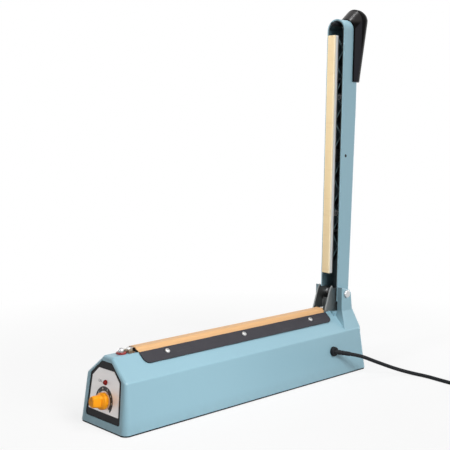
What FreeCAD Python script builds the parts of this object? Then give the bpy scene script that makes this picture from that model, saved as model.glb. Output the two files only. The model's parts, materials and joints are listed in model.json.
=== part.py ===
import FreeCAD, Part
import math
import os

V = FreeCAD.Vector
X_AXIS = V(1, 0, 0)
Y_AXIS = V(0, 1, 0)
Z_AXIS = V(0, 0, 1)

# Driving dimensions of a hand impulse sealer, in millimetres and degrees.
# Origin on the floor under the middle of the machine, -Y towards the control panel, +Z up.

# Stance and bottom plate
foot_height = 0.6
foot_radius = 8.0
foot_inset = 20.0
bottom_thickness = 1.6
bottom_gap = 0.3

# Base housing
base_length = 388.6
base_width = 80.6
shoulder_width = 68.6
shoulder_z = 54.0
deck_width = 15.2
deck_z = 76.0
wall = 3.0
front_lean = 7.0
rear_lean = 7.0
corner_radius = 7.0
shoulder_corner_radius = 3.5
edge_radius = 3.0
origin_shift = 8.2
post_radius = 4.0
post_height = 22.0
post_inset = 24.0
post_side_gap = 2.0
post_floor = 6.0
post_screw_spare = 4.0

# Fasteners
screw_radius = 1.45
screw_clearance = 0.05
hole_clearance = 0.15
pan_head_radius = 2.9
pan_head_height = 1.8
flat_head_radius = 2.75
flat_head_height = 1.0

# Hinge
hinge_inset = 21.7
pin_radius = 3.5
pin_head_radius = 5.0
pin_head_height = 2.6
running_clearance = 0.05
cheek_gap = 0.5
cheek_thickness = 7.9
cheek_front_reach = 14.8
cheek_set_back = 6.5
cheek_rise = 5.6
cheek_front_rise = 8.4
cheek_round = 8.0
cheek_flare_z = 77.0
cheek_root = 8.0
cheek_foot_inset = 1.2
cheek_edge_radius = 1.5
hinge_pad_depth = 8.0
bracket_thickness = 2.0
bracket_gap = 0.3
bracket_ear_back = 7.0
bracket_ear_heel = 12.0
bracket_ear_reach = 27.3
bracket_web_reach = 11.9
stop_gap = 0.25
stop_half = 7.5
bracket_rear_inset = 2.0
bracket_screw_x = 6.0
bracket_ear_rise = 10.5
pin_clip_gap = 0.2
pin_clip_thickness = 1.2
pin_groove = 0.6
pin_head_round = 1.4

# Sealing bed
seal_length = 300.0
bed_reach = 26.0
bed_width = 13.0
bed_height = 4.2
insulation_width = 8.8
insulation_thickness = 0.5
ribbon_width = 5.0
ribbon_thickness = 0.25
ribbon_bend = 0.55
cloth_thickness = 0.3
cloth_gap = 0.03
cloth_overhang = 2.0
cloth_end_gap = 0.3
clamp_plate_width = 15.4
clamp_plate_thickness = 1.2
clamp_plate_edge = 1.2
clamp_plate_radius = 7.0
clamp_plate_shift = 1.5
clamp_screw_pitch = 114.9
clamp_screw_count = 3
clamp_screw_edge = 6.0

# Ribbon terminals
terminal_reach = 4.8
terminal_length = 5.0
terminal_width = 8.0
terminal_travel = 1.2
terminal_drop = 1.4
stem_width = 4.0
stem_length = 3.0
stem_drop = 14.0
insulator_thickness = 1.2
tension_spring_radius = 2.0
tension_spring_wire = 0.6
tension_spring_length = 8.0
tension_spring_drop = 4.0
spring_end_gap = 0.1
spring_turns = 6
spring_lug_thickness = 2.5

# Button and microswitch
button_reach = 9.5
button_radius = 3.3
button_rise = 6.2
button_travel = 2.0
button_stem_radius = 1.5
bush_flange_radius = 5.6
bush_flange_height = 1.8
bush_radius = 4.4
bush_depth = 13.0
bush_floor = 3.0
button_length = 10.0
stem_reach = 1.6
button_spring_radius = 2.25
button_spring_wire = 0.5
button_spring_turns = 5
button_clip_radius = 3.0
button_clip_thickness = 0.6
button_clip_gap = 0.2
switch_width = 6.4
switch_length = 20.0
switch_height = 10.2
switch_drop = 19.4
web_thickness = 3.0
lever_thickness = 0.5
lever_pin_radius = 0.8
lever_barrel_wall = 0.8
lever_pin_inset = 1.5
lever_gap = 0.2
switch_ear = 0.9
switch_screw_radius = 1.0
switch_screw_head = 2.0
switch_screw_drop = 7.0

# Control panel, measured on the leaning front face
panel_bottom = 7.6
panel_shoulder = 53.0
panel_top = 68.8
panel_bottom_half = 30.2
panel_shoulder_half = 27.1
panel_top_half = 8.8
panel_recess = 0.6
panel_clearance = 0.15
panel_round = 3.0
bezel_flange = 2.0
label_thickness = 0.6
label_sink = 0.5
label_bottom = 15.6
label_shoulder = 51.0
label_top = 60.7
label_bottom_half = 26.2
label_shoulder_half = 23.6
label_top_half = 13.2
label_round = 1.0
lamp_height = 47.2
lamp_radius = 2.4
lamp_rise = 0.8
lamp_tail = 3.0
lamp_flange = 0.8
dial_height = 27.9
shaft_radius = 3.0
pot_radius = 8.2
pot_depth = 8.0
pot_bush_radius = 3.6
pot_bush_rise = 2.6
pot_floor = 1.5
pot_nut_corner = 5.6
pot_nut_height = 2.0
knob_skirt_radius = 9.0
knob_skirt_height = 4.6
knob_grip_radius = 6.7
knob_length = 16.0
knob_taper = 0.9
knob_flat = 3.685
knob_wall = 1.6
knob_hollow = 3.0
knob_cap = 3.0
knob_gap = 0.35
board_depth = 15.0
board_thickness = 1.6

# Arm, measured along the arm from the hinge axis and back from it
arm_lean = 1.2
arm_length = 347.0
arm_width = 28.2
arm_wall = 2.7
arm_rim = 7.4
arm_back_root = 15.5
arm_back_tip = 20.5
arm_taper_end = 237.0
arm_tail = 10.4
arm_edge_radius = 3.0
rib_thickness = 2.0
rib_cell = 36.0
rib_start = 40.0
rib_cells = 8
rib_rise = 8.0
cross_rib_span = 193.0
cross_rib_top = 0.0
boss_span = 148.0
boss_radius = 4.25
boss_top = 4.0
arm_bush_wall = 1.5

# Pressure bar
bar_width = 11.7
bar_depth = 6.0
bar_wall = 1.8
strip_width = 11.8
strip_thickness = 2.1
strip_face = 16.4
press_gap = 0.9
pivot_radius = 2.0
pivot_rise = 1.0
pivot_block = 16.0
balance_radius = 3.0
balance_wire = 0.7
striker_radius = 2.4
striker_gap = 0.4

# Handle
handle_start = 269.5
handle_end = 362.0
handle_side = 1.6
handle_lip = 9.5
handle_brow = 16.0
handle_back_start = 30.0
handle_back_end = 43.5
handle_nose = 15.0
handle_crown = 27.0
handle_round = 12.5
handle_gap = 0.05

# Transformer
core_length = 60.0
core_height = 50.0
core_stack = 32.0
core_leg = 10.0
core_y = 34.0
coil_margin = 10.0
coil_gap = 0.2
strap_thickness = 1.2
strap_width = 20.0
strap_foot = 13.0
stud_radius = 2.0
stud_height = 8.0
nut_corner = 4.0
nut_height = 3.0

# Lift spring on the hinge pin
lift_coil_radius = 5.6
lift_wire = 1.6
lift_pitch = 1.9
lift_turns = 5
lift_leg_up = 34.0

# Mains cord
cord_diameter = 4.6
gland_back = 62.8
gland_z = 33.0
gland_thread_radius = 5.0
gland_flange_radius = 6.0
gland_flange_height = 4.0
gland_tail = 4.0
boot_length = 20.0
boot_radius = 3.2
boot_tip_radius = 2.6
coil_centre_x = 190.0
coil_centre_y = 227.9
coil_inner = 22.3
coil_outer = 32.3
coil_base = 1.0
coil_height = 18.8
tie_width = 9.0
tie_thickness = 0.8
tie_gap = 0.1
plug_length = 28.0
plug_width = 34.0
plug_height = 15.0
plug_pin_radius = 2.0
plug_pin_length = 19.0
plug_pin_pitch = 18.6
plug_x = 243.0
plug_y = 196.8
lead_radius = 1.3

# Places worked out from the driving dimensions
rim_z = foot_height + bottom_thickness
front_y = -base_length / 2 - origin_shift
rear_y = front_y + base_length
slope = (deck_z - shoulder_z) / ((shoulder_width - deck_width) / 2)
slope_angle = math.atan(slope)
slope_length = math.hypot(deck_z - shoulder_z, (shoulder_width - deck_width) / 2)
bed_top = deck_z + bed_height
ribbon_z = bed_top + insulation_thickness
terminal_z = ribbon_z - terminal_drop
cloth_z = ribbon_z + ribbon_thickness + cloth_gap
hinge_y = rear_y - hinge_inset
hinge_z = cloth_z + cloth_thickness + press_gap + strip_face
bed_rear = hinge_y - bed_reach
bed_front = bed_rear - seal_length
bed_middle = (bed_front + bed_rear) / 2
front_terminal_y = bed_front - terminal_reach
rear_terminal_y = bed_rear + terminal_reach
button_y = front_terminal_y - button_reach
button_top = deck_z + button_rise
stem_bottom = deck_z - bush_depth - stem_reach
gland_y = rear_y - gland_back
bracket_outer = arm_width / 2 - arm_wall - bracket_gap
bracket_inner = bracket_outer - bracket_thickness
cheek_inner = arm_width / 2 + cheek_gap
cheek_outer = cheek_inner + cheek_thickness
cheek_front = hinge_y - cheek_front_reach
cheek_top = hinge_z + cheek_rise
bar_face = strip_face - strip_thickness
bar_top = bar_face - bar_depth
strip_middle = bed_reach + seal_length / 2
striker_s = hinge_y - button_y
pivot_s = strip_middle
handle_half = arm_width / 2 + handle_side
post_x = base_width / 2 - wall - post_side_gap


def prism_x(points, x0, x1):
    wire = Part.makePolygon([V(x0, y, z) for y, z in points + points[:1]])
    return Part.Face(wire).extrude(V(x1 - x0, 0, 0))


def prism_y(points, y0, y1):
    wire = Part.makePolygon([V(x, y0, z) for x, z in points + points[:1]])
    return Part.Face(wire).extrude(V(0, y1 - y0, 0))


def prism_z(points, z0, z1):
    wire = Part.makePolygon([V(x, y, z0) for x, y in points + points[:1]])
    return Part.Face(wire).extrude(V(0, 0, z1 - z0))


def block(x0, x1, y0, y1, z0, z1):
    return Part.makeBox(x1 - x0, y1 - y0, z1 - z0, V(x0, y0, z0))


def rod(radius, start, axis, length):
    return Part.makeCylinder(radius, length, start, axis)


def sleeve(outer, inner, start, axis, length):
    return rod(outer, start, axis, length).cut(rod(inner, start, axis, length))


def moved(shape, base, rotation):
    copy = shape.copy()
    copy.Placement = FreeCAD.Placement(base, rotation).multiply(copy.Placement)
    return copy


def mirrored(shape):
    return shape.mirror(V(0, 0, 0), X_AXIS)


def both_sides(shape):
    return [shape, mirrored(shape)]


def edges_where(shape, test):
    return [e for e in shape.Edges if test(e.CenterOfMass, e.tangentAt(e.FirstParameter))]


def inset(points, distance):
    lines = []
    for (ax, ay), (bx, by) in zip(points, points[1:] + points[:1]):
        length = math.hypot(bx - ax, by - ay)
        nx, ny = -(by - ay) / length, (bx - ax) / length
        lines.append((ax + nx * distance, ay + ny * distance, bx - ax, by - ay))
    corners = []
    for (px, py, dx, dy), (qx, qy, ex, ey) in zip(lines[-1:] + lines[:-1], lines):
        t = ((qx - px) * ey - (qy - py) * ex) / (dx * ey - dy * ex)
        corners.append((px + dx * t, py + dy * t))
    return corners


def spring(radius, wire, pitch, turns, leg_in=0.0, leg_out=0.0):
    helix = Part.makeHelix(pitch, pitch * turns, radius)
    edge = helix.Edges[0]
    first, last = edge.FirstParameter, edge.LastParameter
    start, along = edge.valueAt(first), edge.tangentAt(first)
    end, away = edge.valueAt(last), edge.tangentAt(last)
    path = list(helix.Edges)
    if leg_in:
        path.insert(0, Part.makeLine(start - along * leg_in, start))
    if leg_out:
        path.append(Part.makeLine(end, end + away * leg_out))
    circle = Part.makeCircle(wire / 2, start - along * leg_in, along)
    return Part.Wire(path).makePipeShell([Part.Wire([circle])], True, True)


def tube(points, diameter, name):
    points = [V(*p) for p in points]
    edges, radii, previous, length = [], [], points[0], 0.0
    for before, corner, after in zip(points, points[1:], points[2:]):
        come, go = before - corner, after - corner
        turn = math.pi - come.getAngle(go)
        reach = 0.45 * min(come.Length, go.Length)
        radius = reach / math.tan(turn / 2)
        radii.append(round(radius, 1))
        come.normalize()
        go.normalize()
        enter, leave = corner + come * reach, corner + go * reach
        bisector = (come + go).normalize()
        middle = corner + bisector * (radius / math.cos(turn / 2) - radius)
        edges.append(Part.makeLine(previous, enter))
        edges.append(Part.Arc(enter, middle, leave).toShape())
        previous = leave
    edges.append(Part.makeLine(previous, points[-1]))
    path = Part.Wire(edges)
    circle = Part.makeCircle(diameter / 2, points[0], points[1] - points[0])
    solid = path.makePipeShell([Part.Wire([circle])], True, True)
    section = math.pi * diameter ** 2 / 4
    print(name, "length", round(path.Length, 1), "radii", radii,
          "volume share", round(solid.Volume / (section * path.Length), 4))
    return solid


def front_at(z):
    return front_y + (z - rim_z) * math.tan(math.radians(front_lean))


def rear_at(z):
    return rear_y - (z - rim_z) * math.tan(math.radians(rear_lean))


def side_at(z):
    return base_width / 2 - (z - rim_z) * (base_width - shoulder_width) / 2 / (shoulder_z - rim_z)


def on_panel(shape):
    return moved(shape, V(0, front_y, rim_z), FreeCAD.Rotation(X_AXIS, 90 - front_lean))


def on_slope(shape):
    along = V(-math.cos(slope_angle), 0, math.sin(slope_angle))
    normal = V(math.sin(slope_angle), 0, math.cos(slope_angle))
    turn = FreeCAD.Rotation(Y_AXIS, along, normal, "XYZ")
    return moved(shape, V(shoulder_width / 2, 0, shoulder_z), turn)


def on_arm(shape):
    return moved(shape, V(0, hinge_y, hinge_z), FreeCAD.Rotation(X_AXIS, -arm_lean))


def hexagon_points(corner):
    return [(corner * math.cos(n * math.pi / 3), corner * math.sin(n * math.pi / 3)) for n in range(6)]


def pan_screw(length):
    head = rod(pan_head_radius, V(0, 0, 0), Z_AXIS, pan_head_height)
    rim = edges_where(head, lambda c, t: c.z > pan_head_height - 0.01 and abs(t.z) < 0.1)
    head = head.makeFillet(pan_head_height * 0.6, rim)
    return head.fuse(rod(screw_radius, V(0, 0, -length), Z_AXIS, length))


def flat_screw(length):
    head = Part.makeCone(flat_head_radius, screw_radius, flat_head_height)
    return head.fuse(rod(screw_radius, V(0, 0, 0), Z_AXIS, length))


# Base housing

def housing_section(bottom):
    right = [(side_at(bottom), bottom), (shoulder_width / 2, shoulder_z), (deck_width / 2, deck_z)]
    return right + [(-x, z) for x, z in reversed(right)]


def housing_profile(bottom, top):
    return [(front_at(bottom), bottom), (rear_at(bottom), bottom), (rear_at(top), top), (front_at(top), top)]


def housing_block(bottom, margin):
    section = prism_y(inset(housing_section(bottom), margin), 2 * front_y, 2 * rear_y)
    profile = inset(housing_profile(bottom, deck_z), margin)
    return section.common(prism_x(profile, -base_width, base_width))


def hinge_cheek():
    low = shoulder_z - cheek_root
    middle_z = cheek_top - cheek_round
    middle_y = rear_at(middle_z) - cheek_round
    turn = cheek_round * math.sqrt(0.5)
    upper = cheek_front + cheek_set_back
    corners = [V(0, cheek_front, low), V(0, cheek_front, shoulder_z + 1), V(0, upper, cheek_flare_z),
               V(0, upper, hinge_z + cheek_front_rise), V(0, middle_y, cheek_top),
               V(0, middle_y + cheek_round, middle_z), V(0, rear_at(low), low)]
    lines = [Part.makeLine(a, b) for a, b in zip(corners, corners[1:] + corners[:1])]
    lines[4] = Part.Arc(corners[4], V(0, middle_y + turn, middle_z + turn), corners[5]).toShape()
    side = Part.Face(Part.Wire(lines)).extrude(V(base_width, 0, 0))
    foot_x = shoulder_width / 2 - cheek_foot_inset
    front = [(cheek_inner, low), (foot_x, low), (foot_x, shoulder_z + 1), (cheek_outer, cheek_flare_z),
             (cheek_outer, 2 * hinge_z), (cheek_inner, 2 * hinge_z)]
    cheek = prism_y(front, cheek_front, rear_y).common(side)
    outer = edges_where(cheek, lambda c, t: abs(c.x - cheek_outer) < 0.1 and abs(t.x) < 0.1
                        and c.z > cheek_flare_z)
    return cheek.makeFillet(cheek_edge_radius, outer)


def panel_outline(grow):
    right = [(panel_bottom_half, panel_bottom), (panel_shoulder_half, panel_shoulder),
             (panel_top_half, panel_top)]
    return inset(right + [(-x, y) for x, y in reversed(right)], -grow)


def rounded_prism(points, radius, z0, z1):
    prism = prism_z(points, z0, z1)
    return prism.makeFillet(radius, edges_where(prism, lambda c, t: abs(t.z) > 0.9))


def post_places():
    ys = [front_y + post_inset, front_y + base_length / 2, rear_y - post_inset]
    return [(side * post_x, y) for side in (-1, 1) for y in ys]


def clamp_screw_places():
    first = bed_middle + clamp_plate_shift - clamp_screw_pitch * (clamp_screw_count - 1) / 2
    return [first + n * clamp_screw_pitch for n in range(clamp_screw_count)]


clamp_top = slope_length - clamp_plate_edge
clamp_bottom = clamp_top - clamp_plate_width
clamp_screw_v = clamp_top - clamp_screw_edge
switch_top = deck_z - switch_drop
switch_rear = button_y + switch_length * 0.69
switch_front = switch_rear - switch_length
lever_pin_y = switch_rear - lever_pin_inset
lever_z = stem_bottom - lever_gap - lever_thickness
lever_pin_z = lever_z - lever_pin_radius
switch_screw_places = [(switch_front + 4.2, switch_top - switch_screw_drop),
                       (switch_rear - 5.0, switch_top - switch_screw_drop)]


def terminal_slot(y, outwards, margin, z0, z1):
    ends = [y - outwards * (stem_length / 2 + margin),
            y + outwards * (stem_length / 2 + terminal_travel + margin)]
    half = stem_width / 2 + margin
    return block(-half, half, min(ends), max(ends), z0, z1)


def spring_lug(y, outwards):
    near = y - outwards * (stem_length / 2 + tension_spring_length)
    far = near - outwards * spring_lug_thickness
    spring_z = deck_z - wall - tension_spring_drop
    return block(-stem_width, stem_width, min(near, far), max(near, far), spring_z - 2.8, deck_z - wall / 2)


def base_housing():
    outer = housing_block(rim_z, 0)
    corners = edges_where(outer, lambda c, t: abs(c.x) > deck_width and rim_z < c.z < shoulder_z
                          and abs(t.z) > 0.9)
    rising = [e for e in corners if e.valueAt(e.FirstParameter).z < e.valueAt(e.LastParameter).z]
    falling = [e for e in corners if e.valueAt(e.FirstParameter).z > e.valueAt(e.LastParameter).z]
    for edges, first, last in ((rising, corner_radius, shoulder_corner_radius),
                               (falling, shoulder_corner_radius, corner_radius)):
        if edges:
            outer = outer.makeFillet(first, last, edges)
    upper = edges_where(outer, lambda c, t: c.z > shoulder_z - 1)
    outer = outer.makeFillet(edge_radius, upper)
    cavity = housing_block(rim_z - 10, wall)
    pad = block(-cheek_inner, cheek_inner, cheek_front, rear_y, deck_z - hinge_pad_depth, deck_z)
    pad = pad.common(prism_x(housing_profile(rim_z, deck_z), -base_width, base_width))
    shell = outer.fuse(both_sides(hinge_cheek()) + [pad]).cut(cavity)

    posts = [rod(post_radius, V(x, y, rim_z), Z_AXIS, post_height) for x, y in post_places()]
    posts = [post.common(housing_block(rim_z, 0)) for post in posts]
    lugs = [spring_lug(front_terminal_y, -1), spring_lug(rear_terminal_y, 1)]
    web_left = -switch_width / 2 - web_thickness
    web_low = switch_top - switch_height - 2
    web = [block(web_left, web_left + web_thickness, switch_front - 2, switch_rear, web_low,
                 stem_bottom - 0.5),
           block(web_left, web_left + web_thickness, button_y + bush_radius + 1.5, switch_rear, web_low,
                 deck_z - wall / 2)]
    shell = shell.fuse(posts + lugs + web)

    holes = [on_panel(rounded_prism(panel_outline(0), panel_round, -wall - 4, 8))]
    holes += [rod(screw_radius + screw_clearance, V(x, y, 0), Z_AXIS, rim_z + post_height - post_floor)
              for x, y in post_places()]
    holes.append(rod(gland_thread_radius, V(base_width / 4, gland_y, gland_z), X_AXIS, base_width / 2))
    holes.append(rod(bush_radius + screw_clearance, V(0, button_y, deck_z - 2 * wall), Z_AXIS, 4 * wall))
    for y, outwards in ((front_terminal_y, -1), (rear_terminal_y, 1)):
        holes.append(terminal_slot(y, outwards, 0.8, deck_z - 2 * wall, deck_z + 1))
    pilot = rod(screw_radius + screw_clearance, V(0, 0, -2 * wall), Z_AXIS, 4 * wall)
    for y in clamp_screw_places():
        hole = on_slope(moved(pilot, V(y, clamp_screw_v, 0), FreeCAD.Rotation()))
        holes += both_sides(hole)
    for x, y in bracket_screw_places():
        holes.append(moved(pilot, V(x, y, deck_z), FreeCAD.Rotation()))
    holes.append(rod(pin_radius + screw_clearance, V(-base_width, hinge_y, hinge_z), X_AXIS, 2 * base_width))
    for y, z in switch_screw_places:
        start = V(-base_width / 4, y, z)
        holes.append(rod(switch_screw_radius + screw_clearance, start, X_AXIS, base_width / 4))
    return shell.cut(Part.makeCompound(holes)).removeSplitter()


# Bottom plate, its screws and the feet

def bottom_plate():
    half = base_width / 2 - bottom_gap
    plate = block(-half, half, front_y + bottom_gap, rear_y - bottom_gap, foot_height, rim_z)
    plate = plate.makeFillet(corner_radius, edges_where(plate, lambda c, t: abs(t.z) > 0.9))
    head = Part.makeCone(flat_head_radius + hole_clearance, screw_radius + hole_clearance, flat_head_height)
    holes = [moved(head.fuse(rod(screw_radius + hole_clearance, V(0, 0, 0), Z_AXIS, 2 * bottom_thickness)),
                   V(x, y, foot_height), FreeCAD.Rotation()) for x, y in post_places()]
    studs = [rod(stud_radius, V(0, y, rim_z), Z_AXIS, stud_height) for y in stud_places()]
    return plate.cut(Part.makeCompound(holes)).fuse(studs)


def bottom_screws():
    screw = flat_screw(bottom_thickness + post_height - post_floor - post_screw_spare)
    return Part.makeCompound([moved(screw, V(x, y, foot_height), FreeCAD.Rotation())
                              for x, y in post_places()])


def rubber_feet():
    x = base_width / 2 - foot_inset
    ys = [front_y + 2 * foot_inset, rear_y - 2 * foot_inset]
    feet = [rod(foot_radius, V(side * x, y, 0), Z_AXIS, foot_height) for side in (-1, 1) for y in ys]
    return Part.makeCompound(feet)


# Control panel

bezel_back = -wall - bezel_flange
label_back = -panel_recess - label_sink
label_front = label_back + label_thickness


def panel_bezel():
    plate = rounded_prism(panel_outline(-panel_clearance), panel_round - panel_clearance, bezel_back, -panel_recess)
    behind = prism_z(panel_outline(bezel_flange), bezel_back, -wall - screw_clearance)
    room = on_panel_block(panel_shoulder_half + 6, panel_bottom + 4, panel_shoulder - 8)
    plate = plate.fuse(behind.common(room))
    pocket = rounded_prism(label_outline(panel_clearance), label_round + panel_clearance, label_back, 0)
    holes = [rod(lamp_radius + hole_clearance, V(0, lamp_height, -2 * wall), Z_AXIS, 4 * wall),
             rod(pot_bush_radius + hole_clearance, V(0, dial_height, -2 * wall), Z_AXIS, 4 * wall)]
    return on_panel(plate.cut(Part.makeCompound([pocket] + holes)))


def on_panel_block(half, low, high):
    return block(-half, half, low, high, -4 * wall, 4 * wall)


def label_outline(grow):
    right = [(label_bottom_half, label_bottom), (label_shoulder_half, label_shoulder),
             (label_top_half, label_top)]
    return inset(right + [(-x, y) for x, y in reversed(right)], -grow)


def panel_label():
    label = rounded_prism(label_outline(0), label_round, label_back, label_front)
    holes = [rod(lamp_radius + hole_clearance, V(0, lamp_height, -2 * wall), Z_AXIS, 4 * wall),
             rod(pot_bush_radius + hole_clearance, V(0, dial_height, -2 * wall), Z_AXIS, 4 * wall)]
    return on_panel(label.cut(Part.makeCompound(holes)))


def power_lamp():
    tail = V(0, lamp_height, bezel_back - lamp_tail)
    dome_z = label_front + lamp_rise
    body = rod(lamp_radius, tail, Z_AXIS, dome_z - bezel_back + lamp_tail)
    dome = Part.makeSphere(lamp_radius, V(0, lamp_height, dome_z))
    flange = rod(lamp_radius + lamp_flange, tail, Z_AXIS, lamp_tail - 2 * screw_clearance)
    return on_panel(body.fuse([dome, flange]))


pot_back = bezel_back - pot_depth


def potentiometer():
    body = rod(pot_radius, V(0, dial_height, pot_back), Z_AXIS, pot_depth)
    bush = rod(pot_bush_radius, V(0, dial_height, bezel_back), Z_AXIS,
               label_front + pot_bush_rise - bezel_back)
    legs = [block(x - 0.6, x + 0.6, dial_height - pot_radius - 6, dial_height - pot_radius + 1, pot_back + 2,
                  pot_back + 2.6) for x in (-5, 0, 5)]
    bore = rod(shaft_radius + running_clearance, V(0, dial_height, pot_back + pot_floor), Z_AXIS,
               4 * pot_depth)
    return on_panel(body.fuse([bush] + legs).cut(bore))


def potentiometer_nut():
    hexagon = [(x, dial_height + y) for x, y in hexagon_points(pot_nut_corner)]
    nut = prism_z(hexagon, label_front, label_front + pot_nut_height)
    return on_panel(nut.cut(rod(pot_bush_radius, V(0, dial_height, -wall), Z_AXIS, 3 * wall)))


knob_base = label_front + knob_gap


def timer_knob():
    skirt = rod(knob_skirt_radius, V(0, dial_height, knob_base), Z_AXIS, knob_skirt_height)
    skirt = skirt.makeFillet(1.2, edges_where(skirt, lambda c, t: c.z > knob_base + 1 and abs(t.z) < 0.1))
    skirt_top = knob_base + knob_skirt_height
    grip = Part.makeCone(knob_grip_radius, knob_grip_radius - knob_taper, knob_length - knob_skirt_height + 1,
                         V(0, dial_height, skirt_top - 1))
    grip = grip.makeFillet(1.0, edges_where(grip, lambda c, t: c.z > knob_base + knob_length - 0.5
                                            and abs(t.z) < 0.1))
    flat = block(knob_flat, 2 * knob_grip_radius, dial_height - 2 * knob_grip_radius,
                 dial_height + 2 * knob_grip_radius, skirt_top, 2 * knob_length)
    pointer = block(-1.0, 1.0, dial_height + knob_grip_radius - 2, dial_height + knob_skirt_radius - 0.6,
                    skirt_top - 1, skirt_top + 1.2)
    hollow = rod(knob_skirt_radius - knob_wall, V(0, dial_height, knob_base - 1), Z_AXIS, knob_hollow + 1)
    bore = rod(shaft_radius, V(0, dial_height, knob_base - 1), Z_AXIS, knob_length - knob_cap + 1)
    knob = skirt.fuse([grip.cut(Part.makeCompound(both_sides(flat))), pointer])
    return on_panel(knob.cut(hollow.fuse(bore)))


def timer_shaft():
    start = pot_back + pot_floor + 0.2
    end = knob_base + knob_length - knob_cap
    return on_panel(rod(shaft_radius, V(0, dial_height, start), Z_AXIS, end - start))


board_front = -board_depth
board_back = board_front - board_thickness


def timer_board():
    half = panel_shoulder_half - 2
    board = block(-half, half, panel_bottom, dial_height + 13, board_back, board_front)
    return on_panel(board)


def timer_components():
    relay = block(-20, -4, dial_height - 14, dial_height + 6, board_back - 15, board_back)
    capacitor = rod(5.0, V(8, dial_height + 4, board_back - 16), Z_AXIS, 16)
    terminals = block(0, 22, panel_bottom + 1, panel_bottom + 9, board_back - 9, board_back)
    driver = block(15, 21, dial_height, dial_height + 5, board_back - 8, board_back)
    spacer = rod(pot_radius - 2, V(0, dial_height, board_front), Z_AXIS, pot_back - board_front)
    return on_panel(Part.makeCompound([relay, capacitor, terminals, driver, spacer]))


# Sealing bed

def seal_bar():
    half = bed_width / 2
    bar = block(-half, half, bed_front, bed_rear, deck_z, bed_top)
    top = edges_where(bar, lambda c, t: c.z > bed_top - 0.1 and abs(t.y) > 0.9)
    return bar.makeFillet(half - insulation_width / 2 - 0.1, top)


def insulation_strip():
    half = insulation_width / 2
    return block(-half, half, bed_front, bed_rear, bed_top, ribbon_z)


def heating_ribbon():
    half = ribbon_width / 2
    reach = terminal_length / 2
    line = [(front_terminal_y - reach, terminal_z), (front_terminal_y + reach + ribbon_bend, terminal_z),
            (bed_front - 0.1, ribbon_z), (bed_rear + 0.1, ribbon_z),
            (rear_terminal_y - reach - ribbon_bend, terminal_z), (rear_terminal_y + reach, terminal_z)]
    points = line + [(y, z + ribbon_thickness) for y, z in reversed(line)]
    ribbon = prism_x(points, -half, half)
    holes = [rod(screw_radius + hole_clearance, V(0, y, terminal_z - 1), Z_AXIS, 2)
             for y in (front_terminal_y, rear_terminal_y)]
    return ribbon.cut(Part.makeCompound(holes))


def slope_point(v, n):
    x = shoulder_width / 2 - v * math.cos(slope_angle) + n * math.sin(slope_angle)
    return x, shoulder_z + v * math.sin(slope_angle) + n * math.cos(slope_angle)


def cover_cloth():
    half = bed_width / 2
    side = half + cloth_gap * 10
    under = [(insulation_width / 2 + 0.2, cloth_z), (side, bed_top - 0.9),
             slope_point(clamp_top + 0.3, cloth_gap), slope_point(clamp_bottom + cloth_overhang, cloth_gap)]
    over = [(x + cloth_thickness * math.sin(a), z + cloth_thickness * math.cos(a))
            for (x, z), a in zip(under, (0.2, 0.9, slope_angle, slope_angle))]
    points = [(-x, z) for x, z in reversed(over)] + over
    points += list(reversed(under)) + [(-x, z) for x, z in under]
    cloth = prism_y(points, bed_front + cloth_end_gap, bed_rear - cloth_end_gap)
    holes = [on_slope(rod(screw_radius + hole_clearance, V(y, clamp_screw_v, -1), Z_AXIS, 4))
             for y in clamp_screw_places()]
    return cloth.cut(Part.makeCompound([h for hole in holes for h in both_sides(hole)]))


clamp_base = cloth_gap + cloth_thickness + cloth_gap


def clamp_plate():
    middle = bed_middle + clamp_plate_shift
    half = seal_length / 2 - 1.0
    plate = block(middle - half, middle + half, clamp_bottom, clamp_top, clamp_base,
                  clamp_base + clamp_plate_thickness)
    low = edges_where(plate, lambda c, t: abs(t.z) > 0.9 and c.y < clamp_bottom + 0.1)
    plate = plate.makeFillet(clamp_plate_radius, low)
    holes = [rod(screw_radius + hole_clearance, V(y, clamp_screw_v, 0), Z_AXIS, 4 * wall)
             for y in clamp_screw_places()]
    return on_slope(plate.cut(Part.makeCompound(holes)))


def clamp_screws():
    screw = pan_screw(clamp_plate_thickness + wall + 2)
    places = [V(y, clamp_screw_v, clamp_base + clamp_plate_thickness) for y in clamp_screw_places()]
    right = [on_slope(moved(screw, place, FreeCAD.Rotation())) for place in places]
    return Part.makeCompound([s for one in right for s in both_sides(one)])


# Ribbon terminals

def terminal_insulator(y, outwards):
    length = terminal_length / 2 + terminal_travel + 0.1
    plate = block(-terminal_width / 2 - 2.5, terminal_width / 2 + 2.5, y - length, y + length, deck_z,
                  deck_z + insulator_thickness)
    return plate.cut(terminal_slot(y, outwards, 0.1, deck_z - 1, deck_z + 2 * insulator_thickness))


def terminal_block(y):
    low = deck_z + insulator_thickness + 0.1
    head = block(-terminal_width / 2, terminal_width / 2, y - terminal_length / 2, y + terminal_length / 2,
                 low, terminal_z)
    stem = block(-stem_width / 2, stem_width / 2, y - stem_length / 2, y + stem_length / 2,
                 deck_z - stem_drop, low)
    hole = rod(screw_radius + screw_clearance, V(0, y, low + 0.4), Z_AXIS, 2 * bed_height)
    return head.fuse(stem).cut(hole)


def terminal_screw(y):
    depth = terminal_z - deck_z - insulator_thickness - 1.0
    return moved(pan_screw(depth + ribbon_thickness), V(0, y, terminal_z + ribbon_thickness), FreeCAD.Rotation())


def tension_spring(y, outwards):
    coil = tension_spring_length - tension_spring_wire - 2 * spring_end_gap
    shape = spring(tension_spring_radius, tension_spring_wire, coil / spring_turns, spring_turns)
    spring_z = deck_z - wall - tension_spring_drop
    start = V(0, y - outwards * (stem_length / 2 + tension_spring_wire / 2 + spring_end_gap), spring_z)
    return moved(shape, start, FreeCAD.Rotation(X_AXIS, 90 * outwards))


# Button and microswitch

bush_low = deck_z - bush_depth


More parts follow.
